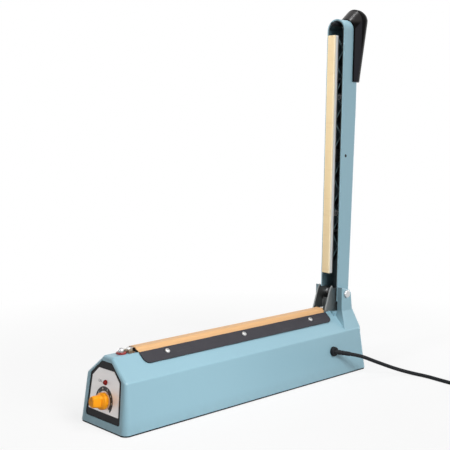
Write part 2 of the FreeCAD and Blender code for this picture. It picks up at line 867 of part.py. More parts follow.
def button_bush():
    flange = rod(bush_flange_radius, V(0, button_y, deck_z), Z_AXIS, bush_flange_height)
    flange = flange.makeFillet(0.9, edges_where(flange, lambda c, t: c.z > deck_z + 1 and abs(t.z) < 0.1))
    barrel = rod(bush_radius, V(0, button_y, bush_low), Z_AXIS, bush_depth)
    bore = rod(button_radius + running_clearance, V(0, button_y, bush_low + bush_floor), Z_AXIS, 2 * bush_depth)
    floor = rod(button_stem_radius + running_clearance, V(0, button_y, bush_low - 1), Z_AXIS, bush_depth)
    return flange.fuse(barrel).cut(bore).cut(floor)


def press_button():
    low = button_top - button_length
    head = rod(button_radius, V(0, button_y, low), Z_AXIS, button_length)
    dome = edges_where(head, lambda c, t: c.z > button_top - 0.1 and abs(t.z) < 0.1)
    head = head.makeFillet(button_radius * 0.8, dome)
    return head.fuse(rod(button_stem_radius, V(0, button_y, stem_bottom), Z_AXIS, low - stem_bottom))


def button_spring():
    low = bush_low + bush_floor
    room = button_top - button_length - low
    coil = room - button_spring_wire - 2 * spring_end_gap
    shape = spring(button_spring_radius, button_spring_wire, coil / button_spring_turns, button_spring_turns)
    return moved(shape, V(0, button_y, low + button_spring_wire / 2 + spring_end_gap), FreeCAD.Rotation())


def button_clip():
    low = bush_low - button_clip_gap - button_clip_thickness
    return sleeve(button_clip_radius, button_stem_radius, V(0, button_y, low), Z_AXIS, button_clip_thickness)


def microswitch():
    half = switch_width / 2
    body = block(-half, half, switch_front, switch_rear, switch_top - switch_height, switch_top)
    ear = block(half - switch_ear, half, lever_pin_y - lever_pin_inset, switch_rear, switch_top,
                lever_pin_z + lever_pin_radius + 0.4)
    pin = rod(lever_pin_radius, V(-half + switch_ear, lever_pin_y, lever_pin_z), X_AXIS,
              switch_width - 2 * switch_ear)
    holes = [rod(switch_screw_radius + screw_clearance, V(-half, y, z), X_AXIS, switch_width)
             for y, z in switch_screw_places]
    legs = [block(-0.4, 0.4, y - 1.5, y + 1.5, switch_top - switch_height - 5, switch_top - switch_height)
            for y in (switch_front + 3, switch_front + 10, switch_rear - 3)]
    return body.cut(Part.makeCompound(holes)).fuse(both_sides(ear) + [pin] + legs)


def switch_lever():
    half = switch_width / 2 - switch_ear - lever_gap
    barrel = rod(lever_pin_radius + lever_barrel_wall, V(-half, lever_pin_y, lever_pin_z), X_AXIS, 2 * half)
    blade = block(-half, half, switch_front + 1.0, lever_pin_y, lever_z, lever_z + lever_thickness)
    bore = rod(lever_pin_radius + running_clearance, V(-half, lever_pin_y, lever_pin_z), X_AXIS, 2 * half)
    return barrel.fuse(blade).cut(bore)


def switch_screws():
    reach = switch_width + web_thickness
    screws = []
    for y, z in switch_screw_places:
        head = rod(switch_screw_head, V(switch_width / 2, y, z), X_AXIS, 1.3)
        screws.append(head.fuse(rod(switch_screw_radius, V(switch_width / 2 - reach, y, z), X_AXIS, reach)))
    return Part.makeCompound(screws)


# Transformer on the bottom plate

strap_leg = core_length / 2 + coil_gap


def stud_places():
    reach = strap_leg + strap_thickness + strap_foot / 2
    return [core_y - reach, core_y + reach]


def transformer_core():
    half = core_stack / 2
    core = block(-half, half, core_y - core_length / 2, core_y + core_length / 2, rim_z, rim_z + core_height)
    windows = [block(-half, half, core_y + side * 1.5 * core_leg - core_leg / 2,
                     core_y + side * 1.5 * core_leg + core_leg / 2, rim_z + core_leg,
                     rim_z + core_height - core_leg) for side in (-1, 1)]
    return core.cut(Part.makeCompound(windows))


def transformer_coil():
    half_x = core_stack / 2 + coil_margin
    half_y = 2 * core_leg - coil_gap
    low = rim_z + core_leg + coil_gap
    high = rim_z + core_height - core_leg - coil_gap
    winding = block(-half_x, half_x, core_y - half_y, core_y + half_y, low, high)
    winding = winding.makeFillet(4.0, edges_where(winding, lambda c, t: abs(t.z) > 0.9))
    leg = block(-core_stack / 2 - coil_gap, core_stack / 2 + coil_gap, core_y - core_leg - coil_gap,
                core_y + core_leg + coil_gap, 0, 2 * core_height)
    return winding.cut(leg)


def transformer_strap():
    outer = strap_leg + strap_thickness
    top = rim_z + core_height + coil_gap
    half = strap_width / 2
    over = block(-half, half, core_y - outer, core_y + outer, rim_z, top + strap_thickness)
    room = block(-half, half, core_y - strap_leg, core_y + strap_leg, 0, top)
    feet = block(-half, half, core_y - outer - strap_foot, core_y + outer + strap_foot, rim_z,
                 rim_z + strap_thickness)
    holes = [rod(stud_radius + hole_clearance, V(0, y, 0), Z_AXIS, core_height / 2) for y in stud_places()]
    return over.fuse(feet).cut(Part.makeCompound([room] + holes)).removeSplitter()


def transformer_nuts():
    hexagon = hexagon_points(nut_corner)
    nut = prism_z(hexagon, 0, nut_height).cut(rod(stud_radius, V(0, 0, 0), Z_AXIS, nut_height))
    return Part.makeCompound([moved(nut, V(0, y, rim_z + strap_thickness), FreeCAD.Rotation())
                              for y in stud_places()])


# Hinge

web_front = hinge_y - bracket_web_reach
web_rear = rear_at(deck_z) - bracket_rear_inset
web_top = deck_z + bracket_thickness


def bracket_screw_places():
    middle = (web_front + web_rear) / 2 + 1.5
    return [(-bracket_screw_x, middle), (bracket_screw_x, middle)]


def hinge_bracket():
    ear_top = hinge_z + bracket_ear_rise
    ear = [(hinge_y - bracket_ear_reach, web_top), (hinge_y - 18.1, hinge_z + 5.5), (hinge_y - 14.6, ear_top),
           (hinge_y - 12.4, hinge_z + 7.2), (hinge_y + 2, hinge_z + 6), (hinge_y + bracket_ear_back, hinge_z + 2),
           (hinge_y + bracket_ear_back, hinge_z - bracket_ear_heel), (web_rear, web_top), (web_rear, deck_z),
           (web_front, deck_z), (web_front, web_top)]
    ear = prism_x(ear, bracket_inner, bracket_outer)
    web = block(-bracket_outer, bracket_outer, web_front, web_rear, deck_z, web_top)
    stop_rear = hinge_y - arm_rim - stop_gap - arm_tail * math.sin(math.radians(arm_lean))
    stop = block(-stop_half, stop_half, stop_rear - bracket_thickness, stop_rear, deck_z, hinge_z - 7)
    holes = [rod(pin_radius + screw_clearance, V(-base_width, hinge_y, hinge_z), X_AXIS, 2 * base_width)]
    holes += [rod(screw_radius + hole_clearance, V(x, y, 0), Z_AXIS, hinge_z)
              for x, y in bracket_screw_places()]
    return web.fuse(both_sides(ear) + [stop]).cut(Part.makeCompound(holes)).removeSplitter()


def bracket_screws():
    screw = pan_screw(bracket_thickness + wall + 3)
    return Part.makeCompound([moved(screw, V(x, y, web_top), FreeCAD.Rotation())
                              for x, y in bracket_screw_places()])


def hinge_pin():
    tail = cheek_outer + pin_clip_gap + pin_clip_thickness + 1.0
    shank = rod(pin_radius, V(-tail, hinge_y, hinge_z), X_AXIS, tail + cheek_outer + pin_clip_gap)
    head = rod(pin_head_radius, V(cheek_outer + pin_clip_gap, hinge_y, hinge_z), X_AXIS, pin_head_height)
    rim = edges_where(head, lambda c, t: c.x > cheek_outer + pin_head_height and abs(t.x) < 0.1)
    head = head.makeFillet(pin_head_round, rim)
    start = V(-cheek_outer - pin_clip_gap - pin_clip_thickness, hinge_y, hinge_z)
    groove = sleeve(pin_radius + 1, pin_radius - pin_groove, start, X_AXIS, pin_clip_thickness)
    return shank.fuse(head).cut(groove)


def pin_clip():
    start = V(-cheek_outer - pin_clip_gap - pin_clip_thickness, hinge_y, hinge_z)
    return sleeve(pin_head_radius, pin_radius - pin_groove, start, X_AXIS, pin_clip_thickness)


def lift_spring():
    leg_down = hinge_z - web_top - lift_wire / 2 - 0.6
    shape = spring(lift_coil_radius, lift_wire, lift_pitch, lift_turns, leg_down, lift_leg_up)
    turn = FreeCAD.Rotation(Y_AXIS, Z_AXIS, X_AXIS, "XYZ")
    return moved(shape, V(-lift_pitch * lift_turns / 2, hinge_y, hinge_z), turn)


# Arm: x across, y back from the hinge axis, z along the arm

arm_half = arm_width / 2
arm_inner = arm_half - arm_wall
bush_outer = pin_radius + running_clearance + arm_bush_wall


def arm_plan(half, tail, y0, y1):
    straight = arm_length - arm_half
    body = block(-half, half, y0, y1, -tail, straight)
    return body.fuse(rod(half, V(0, y0, straight), Y_AXIS, y1 - y0))


def arm_side(front, margin, tail):
    return [(front, -tail), (arm_back_root - margin, -tail), (arm_back_root - margin, 0),
            (arm_back_tip - margin, arm_taper_end), (arm_back_tip - margin, arm_length + 1),
            (front, arm_length + 1)]


def arm_outer():
    side = prism_x(arm_side(-arm_rim, 0, arm_tail), -arm_half, arm_half)
    return side.common(arm_plan(arm_half, arm_tail, -2 * arm_rim, 2 * arm_back_tip))


def arm_cavity():
    tail = arm_tail - arm_wall
    side = prism_x(arm_side(-2 * arm_rim, arm_wall, tail), -arm_half, arm_half)
    return side.common(arm_plan(arm_inner, tail, -3 * arm_rim, 2 * arm_back_tip))


def arm_ribs():
    ribs = []
    deep = arm_back_tip - rib_rise
    for n in range(rib_cells):
        low = rib_start + n * rib_cell
        high = low + rib_cell
        across = 2 * arm_inner
        lean = math.degrees(math.atan2(across, rib_cell))
        long = math.hypot(across, rib_cell)
        for side in (-1, 1):
            rib = block(-rib_thickness / 2, rib_thickness / 2, rib_rise, rib_rise + deep, -long / 2, long / 2)
            ribs.append(moved(rib, V(0, 0, (low + high) / 2), FreeCAD.Rotation(Y_AXIS, side * lean)))
    for side in (-1, 1):
        s = pivot_s + side * cross_rib_span / 2
        ribs.append(block(-arm_inner, arm_inner, cross_rib_top, arm_back_tip, s - rib_thickness / 2,
                          s + rib_thickness / 2))
        ribs.append(rod(boss_radius, V(0, boss_top, pivot_s + side * boss_span / 2), Y_AXIS,
                        arm_back_tip - boss_top))
    ribs.append(rod(striker_radius + 2, V(0, rib_rise, striker_s), Y_AXIS, arm_back_tip - rib_rise))
    return [rib.common(arm_cavity()) for rib in ribs]


def handle_screw_places():
    return [handle_start + 20.5, handle_start + 56.5]


def press_arm():
    shell = arm_outer()
    back = edges_where(shell, lambda c, t: c.y > arm_back_root - 0.1 and abs(c.x) > arm_half - 0.1
                       and abs(t.z) > 0.9)
    shell = shell.makeFillet(arm_edge_radius, back)
    arm = shell.cut(arm_cavity()).fuse(arm_ribs())
    holes = [rod(bush_outer, V(-arm_width, 0, 0), X_AXIS, 2 * arm_width),
             rod(pivot_radius, V(-arm_width, pivot_rise, pivot_s), X_AXIS, 2 * arm_width),
             rod(striker_radius, V(0, 0, striker_s), Y_AXIS, arm_back_tip - arm_wall)]
    holes += [rod(screw_radius + hole_clearance, V(0, 0, s), Y_AXIS, 2 * arm_back_tip)
              for s in handle_screw_places()]
    holes += both_sides(block(bracket_inner - bracket_gap, arm_inner, -2 * arm_rim, arm_back_root - arm_wall,
                              -2 * arm_tail, -arm_tail + arm_wall))
    leg_x = -lift_pitch * lift_turns / 2
    holes.append(block(leg_x - lift_wire, leg_x + lift_wire, -2 * arm_rim, lift_coil_radius + lift_wire + 0.4,
                       -2 * arm_tail, -arm_tail + arm_wall + 0.5))
    return on_arm(arm.cut(Part.makeCompound(holes)).removeSplitter())


def arm_bushes():
    bush = sleeve(bush_outer, pin_radius + running_clearance, V(arm_inner, 0, 0), X_AXIS, arm_wall)
    return on_arm(Part.makeCompound(both_sides(bush)))


def pivot_pin():
    return on_arm(rod(pivot_radius, V(-arm_half, pivot_rise, pivot_s), X_AXIS, arm_width))


def striker_stud():
    tip = hinge_z - button_top - striker_gap
    stud = rod(striker_radius, V(0, -tip, striker_s), Y_AXIS, tip + arm_back_tip - arm_wall)
    end = edges_where(stud, lambda c, t: c.y < -tip + 0.1 and abs(t.y) < 0.1)
    return on_arm(stud.makeFillet(0.8, end))


def handle_arch(centre, y):
    low, high = V(-handle_half, y, handle_start), V(handle_half, y, handle_start)
    left, right = V(-handle_half, y, centre), V(handle_half, y, centre)
    arch = Part.Arc(left, V(0, y, centre + handle_half), right).toShape()
    lines = [Part.makeLine(low, left), arch, Part.makeLine(right, high), Part.makeLine(high, low)]
    return Part.Face(Part.Wire(lines))


def arm_handle():
    lip_centre = arm_length - arm_half
    nose_centre = handle_end - handle_half
    deep = V(0, 2 * handle_back_end, 0)
    lip = handle_arch(lip_centre, handle_lip)
    hood = lip.extrude(V(0, handle_brow, nose_centre - lip_centre))
    body = handle_arch(nose_centre, handle_lip + handle_brow).extrude(deep)
    plan = lip.extrude(deep).fuse([hood, body]).removeSplitter()
    nose_z = handle_end - handle_nose
    points = [V(0, handle_lip, handle_start), V(0, handle_back_start, handle_start),
              V(0, handle_back_end, nose_z), V(0, handle_crown, handle_end), V(0, handle_lip, handle_end)]
    lines = [Part.makeLine(a, b) for a, b in zip(points, points[1:] + points[:1])]
    bulge = V(0, handle_back_end - handle_nose * 0.25, handle_end - handle_nose * 0.27)
    lines[2] = Part.Arc(points[2], bulge, points[3]).toShape()
    side = Part.Face(Part.Wire(lines)).extrude(V(2 * handle_half, 0, 0))
    grip = plan.common(moved(side, V(-handle_half, 0, 0), FreeCAD.Rotation())).removeSplitter()
    back = edges_where(grip, lambda c, t: abs(c.x) > handle_half - 0.1 and c.y > handle_back_start - 2
                       and abs(t.z) > 0.9)
    grip = grip.makeFillet(handle_round, back)
    room = prism_x(arm_side(-2 * arm_rim, -handle_gap, arm_tail), -arm_width, arm_width)
    room = room.common(arm_plan(arm_half + handle_gap, arm_tail, -3 * arm_rim, 2 * arm_back_tip))
    holes = [rod(screw_radius + screw_clearance, V(0, 0, s), Y_AXIS, arm_back_tip + 6)
             for s in handle_screw_places()]
    return on_arm(grip.cut(Part.makeCompound([room] + holes)))


def handle_screws():
    screw = pan_screw(arm_wall + 5)
    turn = FreeCAD.Rotation(X_AXIS, 90)
    return on_arm(Part.makeCompound([moved(screw, V(0, arm_back_tip - arm_wall, s), turn)
                                     for s in handle_screw_places()]))


# Pressure bar

bar_start = bed_reach
bar_end = bed_reach + seal_length


def pressure_bar():
    half = bar_width / 2
    bar = block(-half, half, -bar_face, -bar_top, bar_start, bar_end)
    groove = block(-half + bar_wall, half - bar_wall, -bar_face + bar_wall, 0, bar_start, bar_end)
    lug_half = half - bar_wall
    lug = block(-lug_half, lug_half, -bar_face + bar_wall, pivot_rise + pivot_radius + 1.5,
                pivot_s - pivot_block / 2, pivot_s + pivot_block / 2)
    hole = rod(pivot_radius + running_clearance, V(-half, pivot_rise, pivot_s), X_AXIS, bar_width)
    return on_arm(bar.cut(groove).fuse(lug).cut(hole).removeSplitter())


def silicone_strip():
    half = strip_width / 2
    return on_arm(block(-half, half, -strip_face, -bar_face, bar_start, bar_end))


def balance_springs():
    low = -bar_face + bar_wall
    room = boss_top - low
    coil = room - balance_wire - 4 * spring_end_gap
    shape = spring(balance_radius, balance_wire, coil / spring_turns, spring_turns)
    turn = FreeCAD.Rotation(X_AXIS, -90)
    start = low + balance_wire / 2 + 2 * spring_end_gap
    springs = [moved(shape, V(0, start, pivot_s + side * boss_span / 2), turn) for side in (-1, 1)]
    return on_arm(Part.makeCompound(springs))


# Mains cord and inner leads

def boot_direction():
    return V(0.7, 0.7, -0.15).normalize()


gland_x = side_at(gland_z)
boot_start = V(gland_x + gland_flange_height * 0.5, gland_y, gland_z)


def cord_gland():
    flange = rod(gland_flange_radius, V(gland_x - 0.2, gland_y, gland_z), X_AXIS, gland_flange_height + 0.2)
    flange = flange.makeFillet(1.2, edges_where(flange, lambda c, t: c.x > gland_x + 2 and abs(t.x) < 0.1))
    flange = flange.cut(housing_block(rim_z, 0))
    inlet = V(gland_x - wall - gland_tail, gland_y, gland_z)
    thread = rod(gland_thread_radius - screw_clearance, inlet, X_AXIS, wall + gland_tail + 1)
    nut = sleeve(gland_flange_radius + 1, gland_thread_radius - 1, inlet + X_AXIS * 0.4, X_AXIS, gland_tail - 1)
    boot = Part.makeCone(boot_radius, boot_tip_radius, boot_length, boot_start, boot_direction())
    inside = housing_block(rim_z - 10, wall)
    boot = boot.fuse(Part.makeSphere(boot_radius, boot_start))
    return flange.fuse([thread, nut.common(inside), boot])


def cord_route():
    tip = boot_start + boot_direction() * boot_length
    away = tip + boot_direction() * 12.3
    return [tuple(tip), tuple(away), (70, 158.3, 21.8), (77, 174.3, 14.4), (86.5, 190.3, 7.2),
            (101, 201.8, 2.9), (120, 205.3, 2.35), (141, 202.8, 2.35), (163, 201.4, 2.35), (185, 198.4, 3.35)]


def plug_route():
    end_z = plug_height / 2
    return [(194, 198.5, 17.3), (205, 197.8, 16.3), (217.5, 197.1, 11.6), (plug_x - 13, plug_y, end_z),
            (plug_x, plug_y, end_z)]


def power_cord():
    return Part.makeCompound([tube(cord_route(), cord_diameter, "power cord"),
                              tube(plug_route(), cord_diameter, "plug end")])


def cord_coil():
    ring = sleeve(coil_outer, coil_inner, V(coil_centre_x, coil_centre_y, coil_base), Z_AXIS, coil_height)
    rims = edges_where(ring, lambda c, t: abs(t.z) < 0.1)
    return ring.makeFillet(cord_diameter / 2 - 0.2, rims)


def cord_tie():
    sag = coil_inner - math.sqrt(coil_inner ** 2 - tie_width ** 2 / 4) + tie_gap
    inner = block(coil_inner - sag, coil_outer + tie_gap, -tie_width, tie_width, coil_base - tie_gap,
                  coil_base + coil_height + tie_gap)
    reach = tie_gap + tie_thickness
    outer = block(coil_inner - sag - tie_thickness, coil_outer + reach, -tie_width / 2, tie_width / 2,
                  coil_base - reach, coil_base + coil_height + reach)
    return moved(outer.cut(inner), V(coil_centre_x, coil_centre_y, 0), FreeCAD.Rotation(Z_AXIS, 60))


def plug_body():
    nose = plug_length * 0.45
    half = plug_width / 2
    points = [(plug_x, plug_y - 5), (plug_x + nose, plug_y - half), (plug_x + plug_length, plug_y - half),
              (plug_x + plug_length, plug_y + half), (plug_x + nose, plug_y + half), (plug_x, plug_y + 5)]
    body = prism_z(points, 0, plug_height)
    body = body.makeFillet(4.0, edges_where(body, lambda c, t: abs(t.z) > 0.9 and c.x > plug_x + 1))
    return body.makeFillet(2.0, edges_where(body, lambda c, t: abs(t.z) < 0.1 and c.x > plug_x + 1
                                            and c.x < plug_x + plug_length - 0.1))


def plug_pins():
    start = plug_x + plug_length
    pins = []
    for side in (-1, 1):
        base = V(start, plug_y + side * plug_pin_pitch / 2, plug_height / 2)
        pin = rod(plug_pin_radius, base, X_AXIS, plug_pin_length)
        end = edges_where(pin, lambda c, t: c.x > start + plug_pin_length - 0.1 and abs(t.x) < 0.1)
        pins.append(pin.makeFillet(1.0, end))
    return Part.makeCompound(pins)


def inner_leads():
    coil_x = core_stack / 2 + coil_margin / 2
    coil_top = rim_z + core_height - core_leg - coil_gap
    lead_z = deck_z - stem_drop + lead_radius + 0.7
    inlet = gland_x - wall - gland_tail
    mains = [(inlet, gland_y, gland_z), (inlet - 13, gland_y, gland_z), (inlet - 21, gland_y - 11, gland_z - 3),
             (inlet - 19, gland_y - 26, gland_z - 9), (inlet - 6, gland_y - 42, gland_z - 16),
             (coil_x + 10, core_y + 26, 13), (coil_x + 10, core_y - 20, 9), (24, core_y - 66, 8),
             (19, core_y - 110, 8), (16, core_y - 152, 10), (14, core_y - 191, 14)]
    front_end = front_terminal_y + stem_length / 2
    front = [(-coil_x, core_y - 8, coil_top), (-coil_x, core_y - 8, coil_top + 10),
             (-16, core_y - 34, deck_z - 20), (-9, core_y - 84, deck_z - 19), (-3, core_y - 134, deck_z - 15),
             (0, front_end + 22, lead_z), (0, front_end, lead_z)]
    rear_end = rear_terminal_y - stem_length / 2
    rear = [(-coil_x, core_y + 8, coil_top), (-coil_x, core_y + 8, coil_top + 10),
            (-14, core_y + 34, deck_z - 20), (-5, core_y + 68, deck_z - 17), (0, rear_end - 18, lead_z),
            (0, rear_end, lead_z)]
    return Part.makeCompound([tube(mains, cord_diameter - 1, "mains lead"),
                              tube(front, 2 * lead_radius, "front lead"),
                              tube(rear, 2 * lead_radius, "rear lead")])


pieces = {
    "base_housing": base_housing(),
    "bottom_plate": bottom_plate(),
    "bottom_screws": bottom_screws(),
    "rubber_feet": rubber_feet(),
    "panel_bezel": panel_bezel(),
    "panel_label": panel_label(),
    "power_lamp": power_lamp(),
    "potentiometer": potentiometer(),
    "potentiometer_nut": potentiometer_nut(),
    "timer_knob": timer_knob(),
    "timer_shaft": timer_shaft(),
    "timer_board": timer_board(),
    "timer_components": timer_components(),
    "seal_bar": seal_bar(),
    "insulation_strip": insulation_strip(),
    "heating_ribbon": heating_ribbon(),
    "cover_cloth": cover_cloth(),
    "right_clamp_plate": clamp_plate(),
    "left_clamp_plate": mirrored(clamp_plate()),
    "clamp_screws": clamp_screws(),
    "front_insulator": terminal_insulator(front_terminal_y, -1),
    "rear_insulator": terminal_insulator(rear_terminal_y, 1),
    "front_terminal": terminal_block(front_terminal_y),
    "rear_terminal": terminal_block(rear_terminal_y),
    "front_terminal_screw": terminal_screw(front_terminal_y),
    "rear_terminal_screw": terminal_screw(rear_terminal_y),
    "front_tension_spring": tension_spring(front_terminal_y, -1),
    "rear_tension_spring": tension_spring(rear_terminal_y, 1),
    "button_bush": button_bush(),
    "press_button": press_button(),
    "button_spring": button_spring(),
    "button_clip": button_clip(),
    "microswitch": microswitch(),
    "switch_lever": switch_lever(),
    "switch_screws": switch_screws(),
    "transformer_core": transformer_core(),
    "transformer_coil": transformer_coil(),
    "transformer_strap": transformer_strap(),
    "transformer_nuts": transformer_nuts(),
    "hinge_bracket": hinge_bracket(),
    "bracket_screws": bracket_screws(),
    "hinge_pin": hinge_pin(),
    "pin_clip": pin_clip(),
    "lift_spring": lift_spring(),
    "press_arm": press_arm(),
    "arm_bushes": arm_bushes(),
    "pivot_pin": pivot_pin(),
    "striker_stud": striker_stud(),
    "arm_handle": arm_handle(),
    "handle_screws": handle_screws(),
    "pressure_bar": pressure_bar(),
    "silicone_strip": silicone_strip(),
    "balance_springs": balance_springs(),
    "inner_leads": inner_leads(),
    "cord_gland": cord_gland(),
    "power_cord": power_cord(),
    "cord_coil": cord_coil(),
    "cord_tie": cord_tie(),
    "plug_body": plug_body(),
    "plug_pins": plug_pins(),
}

os.makedirs("parts", exist_ok=True)
for name, shape in pieces.items():
    shape.exportStep("parts/" + name + ".step")
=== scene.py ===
import json
import math

import bmesh
import bpy
from mathutils import Matrix, Vector, noise


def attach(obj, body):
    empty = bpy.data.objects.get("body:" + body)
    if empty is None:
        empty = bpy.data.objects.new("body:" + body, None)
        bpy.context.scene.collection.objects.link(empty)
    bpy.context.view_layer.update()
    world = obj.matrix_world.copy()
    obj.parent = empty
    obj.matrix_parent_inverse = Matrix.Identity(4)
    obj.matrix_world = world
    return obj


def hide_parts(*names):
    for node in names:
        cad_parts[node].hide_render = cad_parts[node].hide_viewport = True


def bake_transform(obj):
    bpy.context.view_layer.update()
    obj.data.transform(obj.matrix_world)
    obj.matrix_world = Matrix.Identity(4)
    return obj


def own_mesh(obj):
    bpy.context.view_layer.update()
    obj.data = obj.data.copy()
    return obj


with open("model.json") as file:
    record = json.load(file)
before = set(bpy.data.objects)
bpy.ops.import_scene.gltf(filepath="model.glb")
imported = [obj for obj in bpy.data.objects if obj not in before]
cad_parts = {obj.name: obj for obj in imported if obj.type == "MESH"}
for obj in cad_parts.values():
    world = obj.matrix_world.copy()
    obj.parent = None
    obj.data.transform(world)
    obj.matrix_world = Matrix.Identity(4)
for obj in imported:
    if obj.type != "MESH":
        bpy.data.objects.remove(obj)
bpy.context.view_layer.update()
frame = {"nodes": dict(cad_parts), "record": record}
nodes = frame["nodes"]
scene = bpy.context.scene
mm = 0.001


# camera

photoView = {"place": (0.7556, -0.7305, 0.318), "heading": 47.05, "dip": 6.51, "lens": 72.66, "sensor": 36}


def setCamera():
    data = bpy.data.cameras.new("photoCamera")
    data.lens = photoView["lens"]
    data.sensor_width = photoView["sensor"]
    camera = bpy.data.objects.new("photoCamera", data)
    camera.location = photoView["place"]
    camera.rotation_euler = (math.radians(90 - photoView["dip"]), 0, math.radians(photoView["heading"]))
    scene.collection.objects.link(camera)
    scene.camera = camera
    scene.view_settings.view_transform = "Standard"


setCamera()
print("camera set")


# frames of the panel, the arm and the right-hand slope, in metres and degrees

stands = {"panelFoot": (0, -0.2025, 0.0022), "panelLean": 83, "hinge": (0, 0.1644, 0.09858), "armLean": -1.2,
          "slopeFoot": (0.0343, 0, 0.054), "slopeRise": 22, "slopeRun": 26.7}


def turned(degrees, letter):
    return Matrix.Rotation(math.radians(degrees), 4, letter)


def at(*place):  # mm
    return Matrix.Translation(Vector(place) * mm)


panelFrame = Matrix.Translation(stands["panelFoot"]) @ turned(stands["panelLean"], "X")
armFrame = Matrix.Translation(stands["hinge"]) @ turned(stands["armLean"], "X")
slopeAngle = math.atan2(stands["slopeRise"], stands["slopeRun"])
slopeFrame = Matrix.Translation(stands["slopeFoot"]) @ Matrix((
    (0, -math.cos(slopeAngle), math.sin(slopeAngle), 0),
    (1, 0, 0, 0),
    (0, math.sin(slopeAngle), math.cos(slopeAngle), 0),
    (0, 0, 0, 1)))


# sockets, nodes and finishes

class Sock:  # a socket that takes part in sums
    def __init__(self, made, socket):
        self.made = made
        self.socket = socket

    def calc(self, operation, first, second=0.0, clamp=False):
        return self.made.add("Math", {"operation": operation, "use_clamp": clamp}, {0: first, 1: second})

    def __add__(self, other):
        return self.calc("ADD", self, other)

    def __radd__(self, other):
        return self.calc("ADD", other, self)

    def __sub__(self, other):
        return self.calc("SUBTRACT", self, other)

    def __rsub__(self, other):
        return self.calc("SUBTRACT", other, self)

    def __mul__(self, other):
        return self.calc("MULTIPLY", self, other)

    def __rmul__(self, other):
        return self.calc("MULTIPLY", other, self)

    def __truediv__(self, other):
        return self.calc("DIVIDE", self, other)

    def __rtruediv__(self, other):
        return self.calc("DIVIDE", other, self)

    def __pow__(self, other):
        return self.calc("POWER", self, other)

    def held(self):  # kept between 0 and 1
        return self.calc("ADD", self, 0.0, True)

    def over(self, limit):
        return self.calc("GREATER_THAN", self, limit)

    def sine(self):
        return self.calc("SINE", self)

    def size(self):
        return self.calc("ABSOLUTE", self)

    def beyond(self, edge, soft):  # 0 up to the edge, 1 from soft past it
        return ((self - edge) / soft).held()

    def below(self, edge, soft):  # 1 until soft before the edge, 0 from the edge on
        return ((edge - self) / soft).held()

    def around(self, middle, half):  # 1 in the middle, 0 from half away on
        return (1 - (self - middle).size() / half).held()


class Nodes:  # a node tree and the one way of adding to it
    def __init__(self, tree):
        self.tree = tree

    def give(self, slot, value):  # a link or a fixed value
        if isinstance(value, Sock):
            self.tree.links.new(value.socket, slot)
        else:
            slot.default_value = value

    def add(self, kind, settings=None, sockets=None, out=0):
        node = self.tree.nodes.new("ShaderNode" + kind)
        for key, value in (settings or {}).items():
            setattr(node, key, value)
        for key, value in (sockets or {}).items():
            self.give(node.inputs[key], value)
        return Sock(self, node.outputs[out])

    def seen(self):  # 1 for what the camera, mirrors and glass show
        ways = [self.add("LightPath", out=f"Is {way} Ray") for way in ("Camera", "Glossy", "Transmission")]
        return (ways[0] + ways[1] + ways[2]).held()


class Finish(Nodes):  # one material and the nodes that make it
    def __init__(self, name, fixed=None):
        self.material = bpy.data.materials.new(name)
        self.material.use_nodes = True
        super().__init__(self.material.node_tree)
        self.shader = self.tree.nodes["Principled BSDF"]
        for slot, value in (fixed or {}).items():
            self.feed(slot, value)
        self.place = self.add("TexCoord", out="Object")

    def feed(self, slot, value):
        self.give(self.shader.inputs[slot], value)

    def noise(self, scale, detail=2.0, rough=0.5, vector=None):
        sockets = {"Vector": vector or self.place, "Scale": scale, "Detail": detail, "Roughness": rough}
        return self.add("TexNoise", sockets=sockets)

    def streaks(self, stretch, detail=2.0, rough=0.5):  # noise drawn out along the axis of the least number
        return self.noise(1.0, detail, rough, self.drawn(stretch))

    def cells(self, scale):
        return self.add("TexVoronoi", sockets={"Vector": self.place, "Scale": scale}, out="Distance")

    def drawn(self, scale, turn=(0, 0, 0), shift=(0, 0, 0)):  # stretched or turned coordinates
        sockets = {"Vector": self.place, "Scale": scale, "Rotation": turn, "Location": shift}
        return self.add("Mapping", sockets=sockets)

    def axis(self, letter, vector=None):
        return self.add("SeparateXYZ", sockets={"Vector": vector or self.place}, out=letter)

    def armAxes(self):  # across, back and along in the arm's own frame
        toArm = armFrame.inverted()
        local = self.drawn((1, 1, 1), toArm.to_euler(), toArm.translation)
        return [self.axis(letter, local) for letter in "XYZ"]

    def blend(self, share, first, second):  # two colours
        def full(colour):
            return colour if isinstance(colour, Sock) else (*colour, 1)
        return self.add("Mix", {"data_type": "RGBA"}, {0: share, 6: full(first), 7: full(second)}, 2)

    def bump(self, height, strength, distance=0.0002):
        normal = self.add("Bump", sockets={"Height": height, "Strength": strength, "Distance": distance})
        self.feed("Normal", normal)


# sizes for the painted shade inside the arm's channel and on its rim, and for the painted highlights on its
# ribs, in metres
armShape = {"inner": 0.0114, "rim": 0.0074, "rimShade": 0.0013, "archStart": 0.3329, "backRoot": 0.0155,
            "backGrow": 0.005, "backKeep": 0.0013, "taperEnd": 0.237, "tail": 0.0104, "ribs": 0.008,
            "thin": 0.0002, "soft": 0.0003, "deepSoft": 0.0004}


def armChannelShade(f):  # painted shade inside the arm's channel and on the inner part of its rim, and painted highlights on the front edges of its ribs
    a = armShape
    across, back, along = f.armAxes()
    past = along.calc("MAXIMUM", along - a["archStart"], 0.0)
    radius = (across * across + past * past) ** 0.5
    inside = radius.below(a["inner"] + a["thin"], a["soft"])
    # painted shade on the inner part of the rim
    rimShaded = radius.below(a["inner"] + a["rimShade"], a["soft"])
    outerBack = a["backRoot"] + (along / a["taperEnd"]).held() * a["backGrow"]
    front = back.below(outerBack - a["backKeep"], a["thin"])
    above = along.beyond(-a["tail"], a["thin"])
    depth = back.beyond(a["thin"] - a["rim"], a["deepSoft"])
    onRim = back.around(-a["rim"], a["soft"])
    # painted highlights along the front edges of the ribs
    ribHighlight = back.around(a["ribs"], a["deepSoft"])
    return (inside * front * depth + rimShaded * onRim).held() * above, ribHighlight
